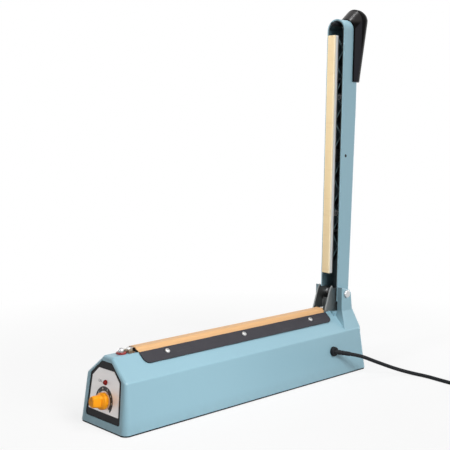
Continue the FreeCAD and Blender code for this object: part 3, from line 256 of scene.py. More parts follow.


# where the painted shade on the front faces of the hinge cheeks lies, and how strong it is
cheekShape = {"inside": 0.0143, "outside": 0.0345, "sideSoft": 0.0003, "footY": 0.1496, "footZ": 0.055,
              "faceY": 0.1561, "faceZ": 0.077, "faceSoft": 0.0005, "shadeDark": 0.55}


def cheekFrontShade(f):  # painted shade on the front faces of the hinge cheeks
    c = cheekShape
    across, back, rise = f.axis("X").size(), f.axis("Y"), f.axis("Z")
    lift = rise.beyond(c["footZ"], c["faceZ"] - c["footZ"])
    onFace = back.around(c["footY"] + lift * (c["faceY"] - c["footY"]), c["faceSoft"])
    between = across.beyond(c["inside"], c["sideSoft"]) * across.below(c["outside"], c["sideSoft"])
    return onFace * between * lift * c["shadeDark"], 0


# the shade colour is painted shade for the arm's channel and the hinge cheeks, and the rib colour is a
# painted highlight within it
paintLook = {"deep": (0.237, 0.409, 0.489), "pale": (0.267, 0.449, 0.528), "cloud": 7, "peel": 650,
             "speck": 190, "rough": 0.3, "speckRough": 0.16, "coat": 0.16, "cloudCoat": 0.14, "bump": 0.09,
             "bumpDepth": 0.0006, "grime": (0.09, 0.12, 0.13), "grimeHeight": 0.016, "grimeShare": 0.3,
             "chip": (0.42, 0.55, 0.6), "chipScale": 1300, "chipCut": 0.79, "chipShare": 0.35,
             "patchScale": 38, "patchCut": 0.56,
             "shade": (0.006, 0.011, 0.014), "ribHighlight": (0.12, 0.19, 0.21), "shadeShare": 0.97}


def bluePaint(name, shaded=None):
    p = paintLook
    f = Finish(name, {"IOR": 1.46, "Coat Roughness": 0.16})
    cloud, peel, speck = f.noise(p["cloud"], 3), f.noise(p["peel"], 1.5), f.noise(p["speck"], 4, 0.6)
    grime = f.axis("Z").below(p["grimeHeight"], p["grimeHeight"]) * speck
    chip = f.noise(p["chipScale"], 0).over(p["chipCut"]) * f.noise(p["patchScale"]).over(p["patchCut"])
    colour = f.blend(cloud, p["deep"], p["pale"])
    colour = f.blend(grime * p["grimeShare"], colour, p["grime"])
    colour = f.blend(chip * p["chipShare"], colour, p["chip"])
    # painted shade laid over the paint, with painted highlights along the rib edges
    if shaded:
        inside, ribHighlight = shaded(f)
        shade = f.blend(ribHighlight * (0.5 + speck * 0.5), p["shade"], p["ribHighlight"])
        colour = f.blend(inside * p["shadeShare"], colour, shade)
    f.feed("Base Color", colour)
    f.feed("Roughness", p["rough"] + speck * p["speckRough"])
    f.feed("Coat Weight", p["coat"] + cloud * p["cloudCoat"])
    f.bump(peel + speck * 0.5, p["bump"], p["bumpDepth"])
    return f.material


plateLook = {"grain": 2600, "cloud": 45, "scuffs": (900, 24, 900), "scuffCut": 0.66,
             "scuff": (0.2, 0.2, 0.21), "scuffShare": 0.1}


def platePaint(name, dark, light, rough):
    p = plateLook
    f = Finish(name, {"Specular IOR Level": 0.14})
    grain, cloud = f.noise(p["grain"]), f.noise(p["cloud"], 3)
    scuff = f.streaks(p["scuffs"], 3, 0.6).over(p["scuffCut"])
    colour = f.blend(cloud * 0.7 + grain * 0.3, dark, light)
    f.feed("Base Color", f.blend(scuff * p["scuffShare"], colour, p["scuff"]))
    f.feed("Roughness", rough + grain * 0.2)
    f.bump(grain, 0.25, 0.0003)
    return f.material


metalLook = {"smear": 60, "grain": 420, "grainRough": 0.16, "smearRough": 0.08, "bump": 0.12}
# the pressure bar inside the arm gets a nearly black painted shade and is rougher there
barLook = {"brightEdge": -0.0103, "soft": 0.0007, "shadeDark": (0.012, 0.014, 0.015), "barShadeShare": 0.96,
           "dullRough": 0.25}


def barShade(f):  # painted shade on the part of the pressure bar that stands inside the arm
    return f.armAxes()[1].beyond(barLook["brightEdge"], barLook["soft"])


def bareMetal(name, dark, light, rough, lines=None, metal=1.0, shadedInside=None):
    m = metalLook
    f = Finish(name, {"Metallic": metal})
    smear = f.noise(m["smear"], 4, 0.62)
    grain = f.streaks(lines) if lines else f.noise(m["grain"])
    colour = f.blend(smear * 0.6 + grain * 0.4, dark, light)
    rough = rough + grain * m["grainRough"] + smear * m["smearRough"]
    # painted shade, where the metal is also rougher
    if shadedInside:
        shadeDark = shadedInside(f)
        colour = f.blend(shadeDark * barLook["barShadeShare"], colour, barLook["shadeDark"])
        rough = rough + shadeDark * barLook["dullRough"]
    f.feed("Base Color", colour)
    f.feed("Roughness", rough)
    f.bump(grain, m["bump"])
    return f.material


mouldLook = {"cloud": 70, "rub": 22, "rubRough": 0.16, "grainRough": 0.1}


def moulded(name, dark, light, rough, grainScale=1500, grainDepth=0.25, gloss=0.3):
    m = mouldLook
    f = Finish(name, {"Specular IOR Level": gloss})
    grain, cloud, rub = f.cells(grainScale), f.noise(m["cloud"], 3), f.noise(m["rub"], 5, 0.65)
    f.feed("Base Color", f.blend(cloud * 0.6 + rub * 0.4, dark, light))
    f.feed("Roughness", rough + rub * m["rubRough"] + grain * m["grainRough"])
    f.bump(grain, grainDepth)
    return f.material


# the back's colours are painted shade and the crown's colour is a painted highlight
handleLook = {"side": 0.01552, "sideSoft": 0.00016, "lip": 0.0106, "lipSoft": 0.0005, "ridge": 0.0234,
              "ridgeSoft": 0.0014, "crown": 0.3425, "crownSoft": 0.004, "crownCoat": 0.32,
              "paintedShading": ((0.0024, 0.0022, 0.0024), (0.005, 0.0046, 0.005)),
              "satin": ((0.016, 0.0155, 0.0195), (0.025, 0.0243, 0.029)),
              "crownHighlight": (0.014, 0.0122, 0.012), "grain": 1200, "rub": 26, "rough": 0.16,
              "satinRough": 0.24, "rubRough": 0.1, "bump": 0.12}


def handleGrip():  # satin flat sides; painted shade on the rounded back and a painted shadow line along the lip, and a painted highlight with a clear coat on the crown
    h = handleLook
    f = Finish("handleBlack", {"Specular IOR Level": 0.02, "Coat Roughness": 0.24})
    across, back, along = f.armAxes()
    front = 1 - back.beyond(h["ridge"], h["ridgeSoft"])
    flat = across.size().beyond(h["side"], h["sideSoft"]) * back.beyond(h["lip"], h["lipSoft"]) * front
    crown = along.beyond(h["crown"], h["crownSoft"]) * front
    grain, rub = f.cells(h["grain"]), f.noise(h["rub"], 5, 0.65)
    # painted shade on the back and in the lip's strip, with a painted highlight on the crown
    paintedShading = f.blend(crown, f.blend(rub, *h["paintedShading"]), h["crownHighlight"])
    f.feed("Base Color", f.blend(flat, paintedShading, f.blend(rub, *h["satin"])))
    f.feed("Roughness", h["rough"] + flat * h["satinRough"] + rub * h["rubRough"])
    f.feed("Coat Weight", crown * (1 - flat) * h["crownCoat"])
    f.bump(grain * (0.15 + flat * 0.85), h["bump"])
    return f.material


labelLook = {"dark": (0.72, 0.695, 0.69), "light": (0.83, 0.805, 0.8), "brush": (60, 2600, 2600), "cloud": 90,
             "metal": 0.42, "cloudMetal": 0.12, "rough": 0.34, "brushRough": 0.14, "bump": 0.06}


def silverLabel():
    s = labelLook
    f = Finish("silverLabel")
    brushed, cloud = f.streaks(s["brush"], 3, 0.6), f.noise(s["cloud"])
    f.feed("Base Color", f.blend(brushed * 0.7 + cloud * 0.3, s["dark"], s["light"]))
    f.feed("Metallic", s["metal"] + cloud * s["cloudMetal"])
    f.feed("Roughness", s["rough"] + brushed * s["brushRough"])
    f.bump(brushed, s["bump"])
    return f.material


def ink(name, dark, light):
    f = Finish(name, {"IOR": 1.45})
    dots = f.noise(1900)
    f.feed("Base Color", f.blend(dots, dark, light))
    f.feed("Roughness", 0.42 + dots * 0.2)
    return f.material


lensLook = {"facets": 900, "red": ((0.14, 0.004, 0.004), (0.23, 0.01, 0.008)),
            "glow": ((0.5, 0.01, 0.005), (0.9, 0.06, 0.03)), "rough": 0.12, "facetRough": 0.1, "bump": 0.12,
            "fixed": {"IOR": 1.49, "Specular IOR Level": 0.09, "Coat Weight": 0.04, "Coat Roughness": 0.05,
                      "Emission Strength": 0.02}}


def lampLens():
    s = lensLook
    f = Finish("lampLens", s["fixed"])
    facet = f.cells(s["facets"])
    f.feed("Base Color", f.blend(facet, *s["red"]))
    f.feed("Emission Color", f.blend(facet, *s["glow"]))
    f.feed("Roughness", s["rough"] + facet * s["facetRough"])
    f.bump(facet, s["bump"])
    return f.material


weaveLook = {"pitch": 0.0009, "dark": (0.64, 0.365, 0.165), "light": (0.74, 0.44, 0.205), "stain": 30,
             "line": 0.0252, "lineHalf": 0.0032, "heated": (0.45, 0.22, 0.09), "heatedShare": 0.08,
             "heatedStain": 0.16, "rough": 0.4, "threadRough": 0.16, "bump": 0.3}


def glassCloth():
    s = weaveLook
    f = Finish("glassCloth", {"IOR": 1.4, "Sheen Weight": 0.08})
    weave = f.add("TexCoord", out="UV")
    across, along = f.axis("X", weave), f.axis("Y", weave)
    turns = 2 * math.pi / s["pitch"]
    thread = (across * turns).sine() * (along * turns).sine() * 0.5 + 0.5
    stain = f.noise(s["stain"], 4, 0.6)
    line = across.around(s["line"], s["lineHalf"])  # where the ribbon has heated it
    colour = f.blend(thread * 0.6 + stain * 0.4, s["dark"], s["light"])
    f.feed("Base Color", f.blend(line * (s["heatedShare"] + stain * s["heatedStain"]), colour, s["heated"]))
    f.feed("Roughness", s["rough"] + thread * s["threadRough"])
    f.bump(thread, s["bump"])
    return f.material


siliconeLook = {"dark": (0.86, 0.655, 0.365), "light": (0.93, 0.745, 0.465), "cloud": 16, "grain": 1500,
                "edge": 0.0046, "edgeSoft": 0.0007, "edgeHighlight": (1.0, 0.9, 0.69), "highlightShare": 0.5,
                "creases": (30, 30, 420), "creaseCut": 0.62, "crease": (0.68, 0.45, 0.2), "creaseShare": 0.1,
                "rough": 0.5, "grainRough": 0.18, "bump": 0.12, "bumpDepth": 0.0003}


def creamSilicone():
    s = siliconeLook
    f = Finish("creamSilicone", {"IOR": 1.42})
    cloud, grain = f.noise(s["cloud"], 4, 0.6), f.noise(s["grain"])
    crease = f.streaks(s["creases"], 3).over(s["creaseCut"])
    # painted highlight along both long edges of the strip
    edge = f.axis("X").size().beyond(s["edge"], s["edgeSoft"])
    colour = f.blend(cloud, s["dark"], s["light"])
    colour = f.blend(edge * s["highlightShare"], colour, s["edgeHighlight"])
    f.feed("Base Color", f.blend(crease * s["creaseShare"], colour, s["crease"]))
    f.feed("Roughness", s["rough"] + grain * s["grainRough"])
    f.bump(grain + crease * 0.4, s["bump"], s["bumpDepth"])
    return f.material


def layered(name, dark, light, lines, rough):  # boards, laminations and tape
    f = Finish(name)
    band, cloud = f.streaks(lines), f.noise(120, 3)
    f.feed("Base Color", f.blend(band * 0.65 + cloud * 0.35, dark, light))
    f.feed("Roughness", rough + band * 0.2)
    f.bump(band, 0.3, 0.0003)
    return f.material


aluminium = {"dark": (0.76, 0.76, 0.75), "light": (0.9, 0.9, 0.89), "rough": 0.4, "lines": (900, 900, 14),
             "metal": 0.55}
finishes = {
    "blue_paint": bluePaint("bluePaint"),
    "black_plate": platePaint("blackPlate", (0.034, 0.033, 0.039), (0.048, 0.046, 0.054), 0.4),
    "zinc_steel": bareMetal("zincSteel", (0.46, 0.46, 0.46), (0.68, 0.68, 0.67), 0.26),
    "chrome": bareMetal("chrome", (0.72, 0.72, 0.73), (0.88, 0.88, 0.88), 0.1),
    "spring_steel": bareMetal("springSteel", (0.28, 0.28, 0.29), (0.46, 0.46, 0.46), 0.3),
    "black_rubber": moulded("blackRubber", (0.006, 0.007, 0.009), (0.013, 0.014, 0.016), 0.4,
                            grainScale=1800, grainDepth=0.15, gloss=0.15),
    "black_plastic": moulded("blackPlastic", (0.012, 0.0125, 0.0145), (0.02, 0.02, 0.023), 0.3,
                             grainScale=1300, grainDepth=0.2, gloss=0.12),
    "label_silver": silverLabel(),
    "lamp_red": lampLens(),
    "knob_orange": moulded("knobOrange", (0.88, 0.29, 0.003), (0.97, 0.39, 0.008), 0.3,
                           grainScale=1100, grainDepth=0.12, gloss=0.25),
    "bush_red": moulded("bushRed", (0.19, 0.01, 0.01), (0.27, 0.021, 0.018), 0.25,
                        grainScale=1400, grainDepth=0.1, gloss=0.4),
    "bar_aluminium": bareMetal("barAluminium", **aluminium),
    "fibre_board": layered("fibreBoard", (0.1, 0.056, 0.03), (0.18, 0.105, 0.055), (60, 700, 2400), 0.5),
    "ribbon_alloy": bareMetal("ribbonAlloy", (0.3, 0.27, 0.25), (0.52, 0.47, 0.43), 0.25, (1800, 22, 1800)),
    "cover_cloth": glassCloth(),
    "terminal_brass": bareMetal("terminalBrass", (0.3, 0.265, 0.2), (0.5, 0.455, 0.36), 0.24),
    "cream_silicone": creamSilicone(),
    "board_green": layered("boardGreen", (0.008, 0.1, 0.04), (0.02, 0.17, 0.07), (300, 300, 900), 0.35),
    "component_black": moulded("componentBlack", (0.016, 0.016, 0.018), (0.035, 0.035, 0.038), 0.4),
    "core_steel": layered("coreSteel", (0.1, 0.1, 0.11), (0.3, 0.3, 0.31), (1400, 30, 30), 0.4),
    "coil_tape": layered("coilTape", (0.55, 0.36, 0.06), (0.72, 0.5, 0.12), (40, 40, 320), 0.35),
    "lead_red": moulded("leadRed", (0.4, 0.015, 0.012), (0.52, 0.03, 0.025), 0.35),
}
blackInk = ink("blackInk", (0.008, 0.008, 0.009), (0.016, 0.016, 0.018))
whiteInk = ink("whiteInk", (0.74, 0.74, 0.73), (0.86, 0.86, 0.85))
greyInk = ink("greyInk", (0.1, 0.1, 0.105), (0.16, 0.16, 0.165))
brownInk = ink("brownInk", (0.42, 0.11, 0.004), (0.52, 0.15, 0.008))

slotOf = {part["node"]: part["material_slot"] for part in frame["record"]["subparts"]}
ownFinish = {
    "base_housing": bluePaint("basePaint", cheekFrontShade),
    "press_arm": bluePaint("armPaint", armChannelShade),
    "arm_handle": handleGrip(),
    "pressure_bar": bareMetal("pressureBar", **aluminium, shadedInside=barShade),
    # steel darker than plain zinc: painted shade for the bracket, which sits in shade between the hinge
    # cheeks
    "hinge_bracket": bareMetal("bracketSteel", (0.15, 0.165, 0.165), (0.26, 0.275, 0.275), 0.32),
    # nearly black steel: painted shade for the spring down in the hinge recess
    "lift_spring": bareMetal("liftSpring", (0.05, 0.052, 0.055), (0.1, 0.1, 0.105), 0.34),
    "hinge_pin": bareMetal("pinSteel", (0.5, 0.51, 0.52), (0.68, 0.69, 0.7), 0.3, metal=0.8),
    "pivot_pin": bareMetal("pivotSteel", (0.02, 0.024, 0.026), (0.05, 0.055, 0.06), 0.4),
    "press_button": bareMetal("buttonChrome", (0.4, 0.4, 0.41), (0.54, 0.54, 0.55), 0.08),
    "seal_bar": moulded("barCoating", (0.012, 0.011, 0.01), (0.024, 0.021, 0.018), 0.4,
                        grainScale=1500, grainDepth=0.2, gloss=0.12),
    "bottom_plate": moulded("undersideBlack", (0.008, 0.0085, 0.009), (0.016, 0.0165, 0.0175), 0.5,
                            grainScale=900, grainDepth=0.2, gloss=0.08),
}
for name, slot in slotOf.items():
    slots = nodes[name].data.materials
    slots.clear()
    slots.append(ownFinish.get(name, finishes[slot]))
print("finishes:", len(finishes), "and", len(ownFinish), "of single parts")


# shared ways of making pieces, with sizes in mm

def pick(geom, kind):
    return [g for g in geom if isinstance(g, kind)]


def ramp(value, start, run):  # 0 up to the start, 1 from run past it
    return min(1, max(0, (value - start) / run))


def chain(bm, spots, closed=False):  # vertices in metres, joined in a row by edges
    row = [bm.verts.new(spot) for spot in spots]
    for first, second in zip(row, row[1:] + (row[:1] if closed else [])):
        bm.edges.new((first, second))
    return row


def bend(bm, corners, width, segments):  # rounds corners of a chain
    bmesh.ops.bevel(bm, geom=corners, offset=width * mm, offset_type="OFFSET", affect="VERTICES",
                    segments=segments, profile=0.5, material=-1)


def lathe(profile, steps):  # turns (radius, height) points about Z
    bm = bmesh.new()
    chain(bm, [(r * mm, 0, z * mm) for r, z in profile])
    bmesh.ops.spin(bm, geom=bm.verts[:] + bm.edges[:], cent=(0, 0, 0), axis=(0, 0, 1), angle=2 * math.pi,
                   steps=steps, use_merge=True)
    bmesh.ops.remove_doubles(bm, verts=bm.verts[:], dist=1e-6)
    bmesh.ops.recalc_face_normals(bm, faces=bm.faces[:])
    return bm


def flute(v, count, depth, radius):  # draws a vertex in where a groove runs
    groove = max(0.0, math.cos(count * math.atan2(v.co.y, v.co.x)))
    v.co.xy *= 1 - groove * depth / radius


def box(size, middle):
    bm = bmesh.new()
    bmesh.ops.create_cube(bm, size=1)
    bmesh.ops.scale(bm, vec=[s * mm for s in size], verts=bm.verts[:])
    bmesh.ops.translate(bm, vec=[m * mm for m in middle], verts=bm.verts[:])
    return bm


def rounded(bm, width, segments, test=None):
    edges = [e for e in bm.edges if not test or test(e)]
    bmesh.ops.bevel(bm, geom=edges, offset=width * mm, offset_type="OFFSET", affect="EDGES",
                    segments=segments, profile=0.5, material=-1, clamp_overlap=True)
    return bm


def gathered(parts):  # several (bmesh, matrix) pairs as one bmesh
    whole = bmesh.new()
    for bm, matrix in parts:
        part = bpy.data.meshes.new("part")
        bm.to_mesh(part)
        part.transform(matrix)
        whole.from_mesh(part)
        bpy.data.meshes.remove(part)
    return whole


def finished(name, bm, body, replaces=(), finish=None, slot=None, angle=38):
    mesh = bpy.data.meshes.new(name)
    bm.to_mesh(mesh)
    bm.free()
    mesh.shade_smooth()
    mesh.set_sharp_from_angle(angle=math.radians(angle))
    slot = slot or (slotOf[replaces[0]] if replaces else None)
    mesh.materials.append(finish or finishes[slot])
    piece = bpy.data.objects.new(name, mesh)
    scene.collection.objects.link(piece)
    if body:
        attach(piece, body)
    if replaces:
        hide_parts(*replaces)
    return piece


def carved(bm, cutters):  # cuts each bmesh in cutters out of bm
    def loose(name, shape):
        mesh = bpy.data.meshes.new(name)
        shape.to_mesh(mesh)
        shape.free()
        holder = bpy.data.objects.new(name, mesh)
        scene.collection.objects.link(holder)
        return holder

    blank = loose("carved", bm)
    tools = [loose("cutter", cutter) for cutter in cutters]
    for tool in tools:
        cut = blank.modifiers.new("cut", "BOOLEAN")
        cut.operation = "DIFFERENCE"
        cut.solver = "EXACT"
        cut.object = tool
    depsgraph = bpy.context.evaluated_depsgraph_get()
    result = bmesh.new()
    result.from_mesh(blank.evaluated_get(depsgraph).to_mesh())
    for extra in [blank] + tools:
        bpy.data.objects.remove(extra)
    return result


# mains lead: leaves the boot, comes down to the floor and is coiled behind the machine

mainsLead = {
    "diameter": 4.6,
    "length": 1.255,
    "route": [(52.715, 137.283, 30.004), (61.314, 145.882, 28.161), (70, 158.3, 21.8), (77, 174.3, 14.4),
              (86.5, 190.3, 7.2), (101, 201.8, 2.9), (120, 205.3, 2.35), (141, 202.8, 2.35),
              (163, 201.4, 2.35), (185, 198.4, 3.35)],
    "coilMiddle": (190, 227.9),
    "rings": [(29.7, 3.35), (25, 3.35), (25, 8), (29.7, 8), (29.7, 12.65), (25, 12.65), (25, 17.3),
              (29.7, 17.3)],  # radius and height of each turn
    "firstAngle": -84.6,
    "coilPoints": 144,
    "pointAngle": 15.0,
    "firstChange": 201.0,
    "changeEvery": 300.0,
    "changeAngle": 50.0,
    "plugEnd": [(194, 198.5, 17.3), (205, 197.8, 16.3), (217.5, 197.1, 11.6), (230, 196.8, 7.5),
                (243, 196.8, 7.5)],
    "smoothness": 5,
}


def coilTurns(lead):
    points = []
    x, y = lead["coilMiddle"]
    spread = 1 / math.cos(math.radians(lead["pointAngle"] / 2))  # the spline runs inside its points
    for n in range(lead["coilPoints"]):
        angle = lead["firstAngle"] + n * lead["pointAngle"]
        done = max(0, math.floor((angle - lead["firstChange"]) / lead["changeEvery"]) + 1)
        since = angle - lead["firstChange"] - (done - 1) * lead["changeEvery"]
        t = min(1, since / lead["changeAngle"]) if done else 1
        share = t * t * (3 - 2 * t)
        (r0, z0), (r1, z1) = lead["rings"][max(0, done - 1)], lead["rings"][done]
        radius = (r0 + (r1 - r0) * share) * spread
        turn = math.radians(angle)
        points.append((x + radius * math.cos(turn), y + radius * math.sin(turn), z0 + (z1 - z0) * share))
    return points


def makeLead(lead):
    points = lead["route"] + coilTurns(lead) + lead["plugEnd"]
    curve = bpy.data.curves.new("mainsLead", "CURVE")
    curve.dimensions = "3D"
    spline = curve.splines.new("NURBS")
    spline.points.add(len(points) - 1)
    for spot, point in zip(spline.points, points):
        spot.co = (*[c * mm for c in point], 1)
    spline.order_u = 3
    spline.use_endpoint_u = True
    spline.resolution_u = lead["smoothness"]
    curve.bevel_depth = lead["diameter"] * mm / 2
    curve.bevel_resolution = lead["smoothness"]
    curve.use_fill_caps = True
    curve.materials.append(finishes["black_rubber"])
    piece = bpy.data.objects.new("mainsLead", curve)
    scene.collection.objects.link(piece)
    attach(piece, "base")
    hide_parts("power_cord", "cord_coil")
    print("mains lead:", len(points), "points")
    return piece


lead = makeLead(mainsLead)


# gland and boot where the lead leaves the side wall

gland = {
    "place": (36.73, 123.3, 33), "radius": 6.0, "grooves": 18, "grooveDepth": 0.22, "grooveFrom": 5.95,
    "cap": [(0, -0.8), (5.7, -0.8), (6, -0.5), (6, 2.8), (5.65, 3.55), (4.9, 4), (3.9, 4), (3.5, 3.5),
            (0, 3.5)],
    "bootStart": (38.732, 123.3, 33), "bootWay": (0.7, 0.7, -0.15), "bootSteps": 40,
    "boot": [(0, -2), (3.1, -2), (3.2, 0), (3.2, 3.2), (2.9, 3.6), (2.9, 4.8), (3.08, 5.2), (3.05, 7.6),
             (2.78, 8), (2.78, 9.2), (2.95, 9.6), (2.9, 12), (2.66, 12.4), (2.66, 13.6), (2.8, 14),
             (2.72, 17.4), (2.6, 19), (2.4, 20), (2.1, 20), (2.1, 17), (0, 17)],
}


def makeGland():
    g = gland
    cap = lathe(g["cap"], g["grooves"] * 4)
    for v in cap.verts:  # grip grooves round the cap
        if math.hypot(v.co.x, v.co.y) > g["grooveFrom"] * mm and v.co.z > 0:
            flute(v, g["grooves"], g["grooveDepth"], g["radius"])
    boot = lathe(g["boot"], g["bootSteps"])
    way = Vector(g["bootWay"]).to_track_quat("Z", "Y").to_matrix().to_4x4()
    whole = gathered([(cap, at(*g["place"]) @ turned(90, "Y")), (boot, at(*g["bootStart"]) @ way)])
    return finished("leadGland", whole, "base", ["cord_gland"])


# plug at the lead's far end

plug = {
    "start": 243, "middle": (196.8, 7.5), "length": 28, "width": 34, "height": 15, "neck": 5,
    "shoulder": 0.45, "edge": 2.6, "ridges": 5, "ridgeSize": (1.3, 1.6, 9), "ridgeStart": 3,
    "ridgeEvery": 2.6, "ridgeSunk": 0.25, "ridgeEdge": 0.55, "sleeveBack": 6.5, "sleeveSteps": 36,
    "sleeve": [(0, 0), (2.7, 0), (3.0, 0.5), (3.0, 1.6), (2.8, 1.9), (2.9, 2.4), (3.3, 2.7), (3.4, 4),
               (3.1, 4.4), (3.4, 4.9), (4.2, 6.4), (4.2, 9), (0, 9)],
}


def makePlug():
    p = plug
    y, z = p["middle"]
    half, x, end = p["width"] / 2, p["start"], p["start"] + p["length"]
    nose = x + p["length"] * p["shoulder"]
    corners = [(x, y - p["neck"]), (nose, y - half), (end, y - half), (end, y + half), (nose, y + half),
               (x, y + p["neck"])]
    body = bmesh.new()
    face = body.faces.new([body.verts.new((a * mm, b * mm, 0.0)) for a, b in corners])
    rise = bmesh.ops.extrude_face_region(body, geom=[face])["geom"]
    bmesh.ops.translate(body, vec=(0, 0, p["height"] * mm), verts=pick(rise, bmesh.types.BMVert))
    bmesh.ops.recalc_face_normals(body, faces=body.faces[:])
    parts = [(rounded(body, p["edge"], 4), Matrix())]
    for n in range(p["ridges"]):
        for side in (-1, 1):
            spot = (nose + p["ridgeStart"] + n * p["ridgeEvery"], y + side * (half - p["ridgeSunk"]), z)
            parts.append((rounded(box(p["ridgeSize"], spot), p["ridgeEdge"], 2), Matrix()))
    sleeve = lathe(p["sleeve"], p["sleeveSteps"])
    parts.append((sleeve, at(x - p["sleeveBack"], y, z) @ turned(90, "Y")))
    return finished("leadPlug", gathered(parts), "base", ["plug_body"])


# strap round the put-away coil

coilTie = {"near": 21.4, "far": 32.8, "low": 0.5, "high": 20.3, "corner": 2.4, "width": 9.0, "thickness": 0.8,
           "turn": 60, "buckle": (1.1, 11, 7), "buckleOut": 0.75, "buckleUp": 10.4, "buckleEdge": 0.4}


def makeTie():
    c = coilTie
    bm = bmesh.new()
    spots = [(c["near"], c["low"]), (c["far"], c["low"]), (c["far"], c["high"]), (c["near"], c["high"])]
    ring = chain(bm, [(r * mm, -c["width"] * mm / 2, z * mm) for r, z in spots], closed=True)
    bend(bm, ring, c["corner"], 6)
    wide = bmesh.ops.extrude_edge_only(bm, edges=bm.edges[:])["geom"]
    bmesh.ops.translate(bm, vec=(0, c["width"] * mm, 0), verts=pick(wide, bmesh.types.BMVert))
    bmesh.ops.recalc_face_normals(bm, faces=bm.faces[:])
    bmesh.ops.solidify(bm, geom=bm.faces[:], thickness=c["thickness"] * mm / 2)
    buckle = rounded(box(c["buckle"], (c["far"] + c["buckleOut"], 0, c["buckleUp"])), c["buckleEdge"], 2)
    place = at(*mainsLead["coilMiddle"], 0) @ turned(c["turn"], "Z")
    return finished("coilTie", gathered([(bm, place), (buckle, place)]), "base", ["cord_tie"])


leadGland, leadPlug, tie = makeGland(), makePlug(), makeTie()
print("lead fittings made")


# cover cloth stretched over the sealing bed

coverCloth = {
    "side": [(18.887, 66.739), (8.314, 75.451), (6.8, 79.3), (4.6, 80.98), (0, 80.98)],
    "front": -161.3, "rear": 138.1, "thickness": 0.3, "bend": 0.9, "rows": 150, "longest": 2,
    "flat": (0.0504, 0.2994),
    "frontTrim": (2.7, 2.8), "rearTrim": (0.0, 2.4), "trimFade": 30, "bedSide": (6.9, 1.4), "hem": (12, 6.9),
    "rumple": 0.06, "rumpleScale": (120, 60), "looseAt": 7.2, "looseHalf": 3.0,
}


def trimCorners(bm):  # cuts the corners back behind the ends of the clamp plates
    c = coverCloth
    ends = ((c["front"], 1, c["frontTrim"]), (c["rear"], -1, c["rearTrim"]))
    for v in bm.verts:
        across, along = abs(v.co.x) / mm, v.co.y / mm
        side, hem = ramp(across, *c["bedSide"]), ramp(across, *c["hem"])
        for end, way, trim in ends:
            near = max(0, 1 - (along - end) * way / c["trimFade"])
            v.co.y += way * near * (trim[0] * side + trim[1] * hem) * mm


def layWeave(bm):  # a UV map in metres across and along the cloth
    uv = bm.loops.layers.uv.new("weave")
    bent = sorted({round(v.co.x, 7): v.co.z for v in bm.verts}.items())
    run, travelled = {}, 0.0
    for (x0, z0), (x1, z1) in zip(bent[:1] + bent, bent):
        travelled += math.hypot(x1 - x0, z1 - z0)
        run[x1] = travelled
    for face in bm.faces:
        for loop in face.loops:
            loop[uv].uv = (run[round(loop.vert.co.x, 7)], loop.vert.co.y - coverCloth["front"] * mm)


def makeCloth():
    c = coverCloth
    line = c["side"] + [(-x, z) for x, z in reversed(c["side"][:-1])]
    bm = bmesh.new()
    spots = chain(bm, [(x * mm, c["front"] * mm, (z + c["thickness"] / 2) * mm) for x, z in line])
    bend(bm, [v for v in spots[1:-1] if abs(v.co.x) > 1e-5], c["bend"], 4)
    long = [e for e in bm.edges if e.calc_length() > c["longest"] * mm]
    bmesh.ops.subdivide_edges(bm, edges=long, cuts=3)
    step = (c["rear"] - c["front"]) / c["rows"] * mm
    edges = bm.edges[:]
    for _ in range(c["rows"]):
        fresh = bmesh.ops.extrude_edge_only(bm, edges=edges)["geom"]
        bmesh.ops.translate(bm, vec=(0, step, 0), verts=pick(fresh, bmesh.types.BMVert))
        edges = pick(fresh, bmesh.types.BMEdge)
    bmesh.ops.recalc_face_normals(bm, faces=bm.faces[:])
    if sum(f.normal.z for f in bm.faces) < 0:
        bmesh.ops.reverse_faces(bm, faces=bm.faces[:])
    trimCorners(bm)
    layWeave(bm)
    acrossScale, alongScale = c["rumpleScale"]
    for v in bm.verts:  # slight rumple where nothing presses it flat
        free = max(0.0, 1 - abs(abs(v.co.x) - c["looseAt"] * mm) / (c["looseHalf"] * mm))
        spot = Vector((v.co.x * acrossScale, v.co.y * alongScale, 0))
        v.co.z += free * c["rumple"] * mm * noise.noise(spot)
    piece = finished("coverCloth", bm, "base", ["cover_cloth"], angle=60)
    thick = piece.modifiers.new("thickness", "SOLIDIFY")
    thick.thickness = c["thickness"] * mm
    thick.offset = 0


makeCloth()
print("cover cloth stretched")


# springs and ribbon, copied from their parts, with the ribbon cut in two at its middle

giving = {"twist": (-0.0049, 0.0057), "balance": (0.0036, -0.0121), "buttonTravel": 0.002,
          "ribbonMiddle": -0.0116, "ribbonHeld": 0.13}  # metres


def nodeCopy(node):
    bm = bmesh.new()
    bm.from_mesh(nodes[node].data)
    bmesh.ops.remove_doubles(bm, verts=bm.verts[:], dist=1e-6)
    return bm


def makeSprings():
    lift = finished("liftSpring", nodeCopy("lift_spring"), None, ["lift_spring"], ownFinish["lift_spring"])
    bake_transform(lift)
    balance = finished("balanceSprings", nodeCopy("balance_springs"), None, ["balance_springs"])
    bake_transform(balance)
    button = finished("buttonSpring", nodeCopy("button_spring"), "base", ["button_spring"])
    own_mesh(button)


def makeRibbon(name, toward, replaces):
    bm = nodeCopy("heating_ribbon")
    middle = giving["ribbonMiddle"]
    cut = bmesh.ops.bisect_plane(bm, geom=bm.verts[:] + bm.edges[:] + bm.faces[:], plane_co=(0, middle, 0),
                                 plane_no=(0, -toward, 0), clear_outer=True)
    bmesh.ops.holes_fill(bm, edges=pick(cut["geom_cut"], bmesh.types.BMEdge), sides=0)
    ribbon = finished(name, bm, None, replaces, slot=slotOf["heating_ribbon"])
    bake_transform(ribbon)


makeSprings()
makeRibbon("ribbonFront", -1, ["heating_ribbon"])
makeRibbon("ribbonRear", 1, [])


# silicone strip on the pressure bar

pressStrip = {"width": 11.8, "face": 16.4, "back": 14.3, "start": 26, "end": 326, "edge": 0.6}


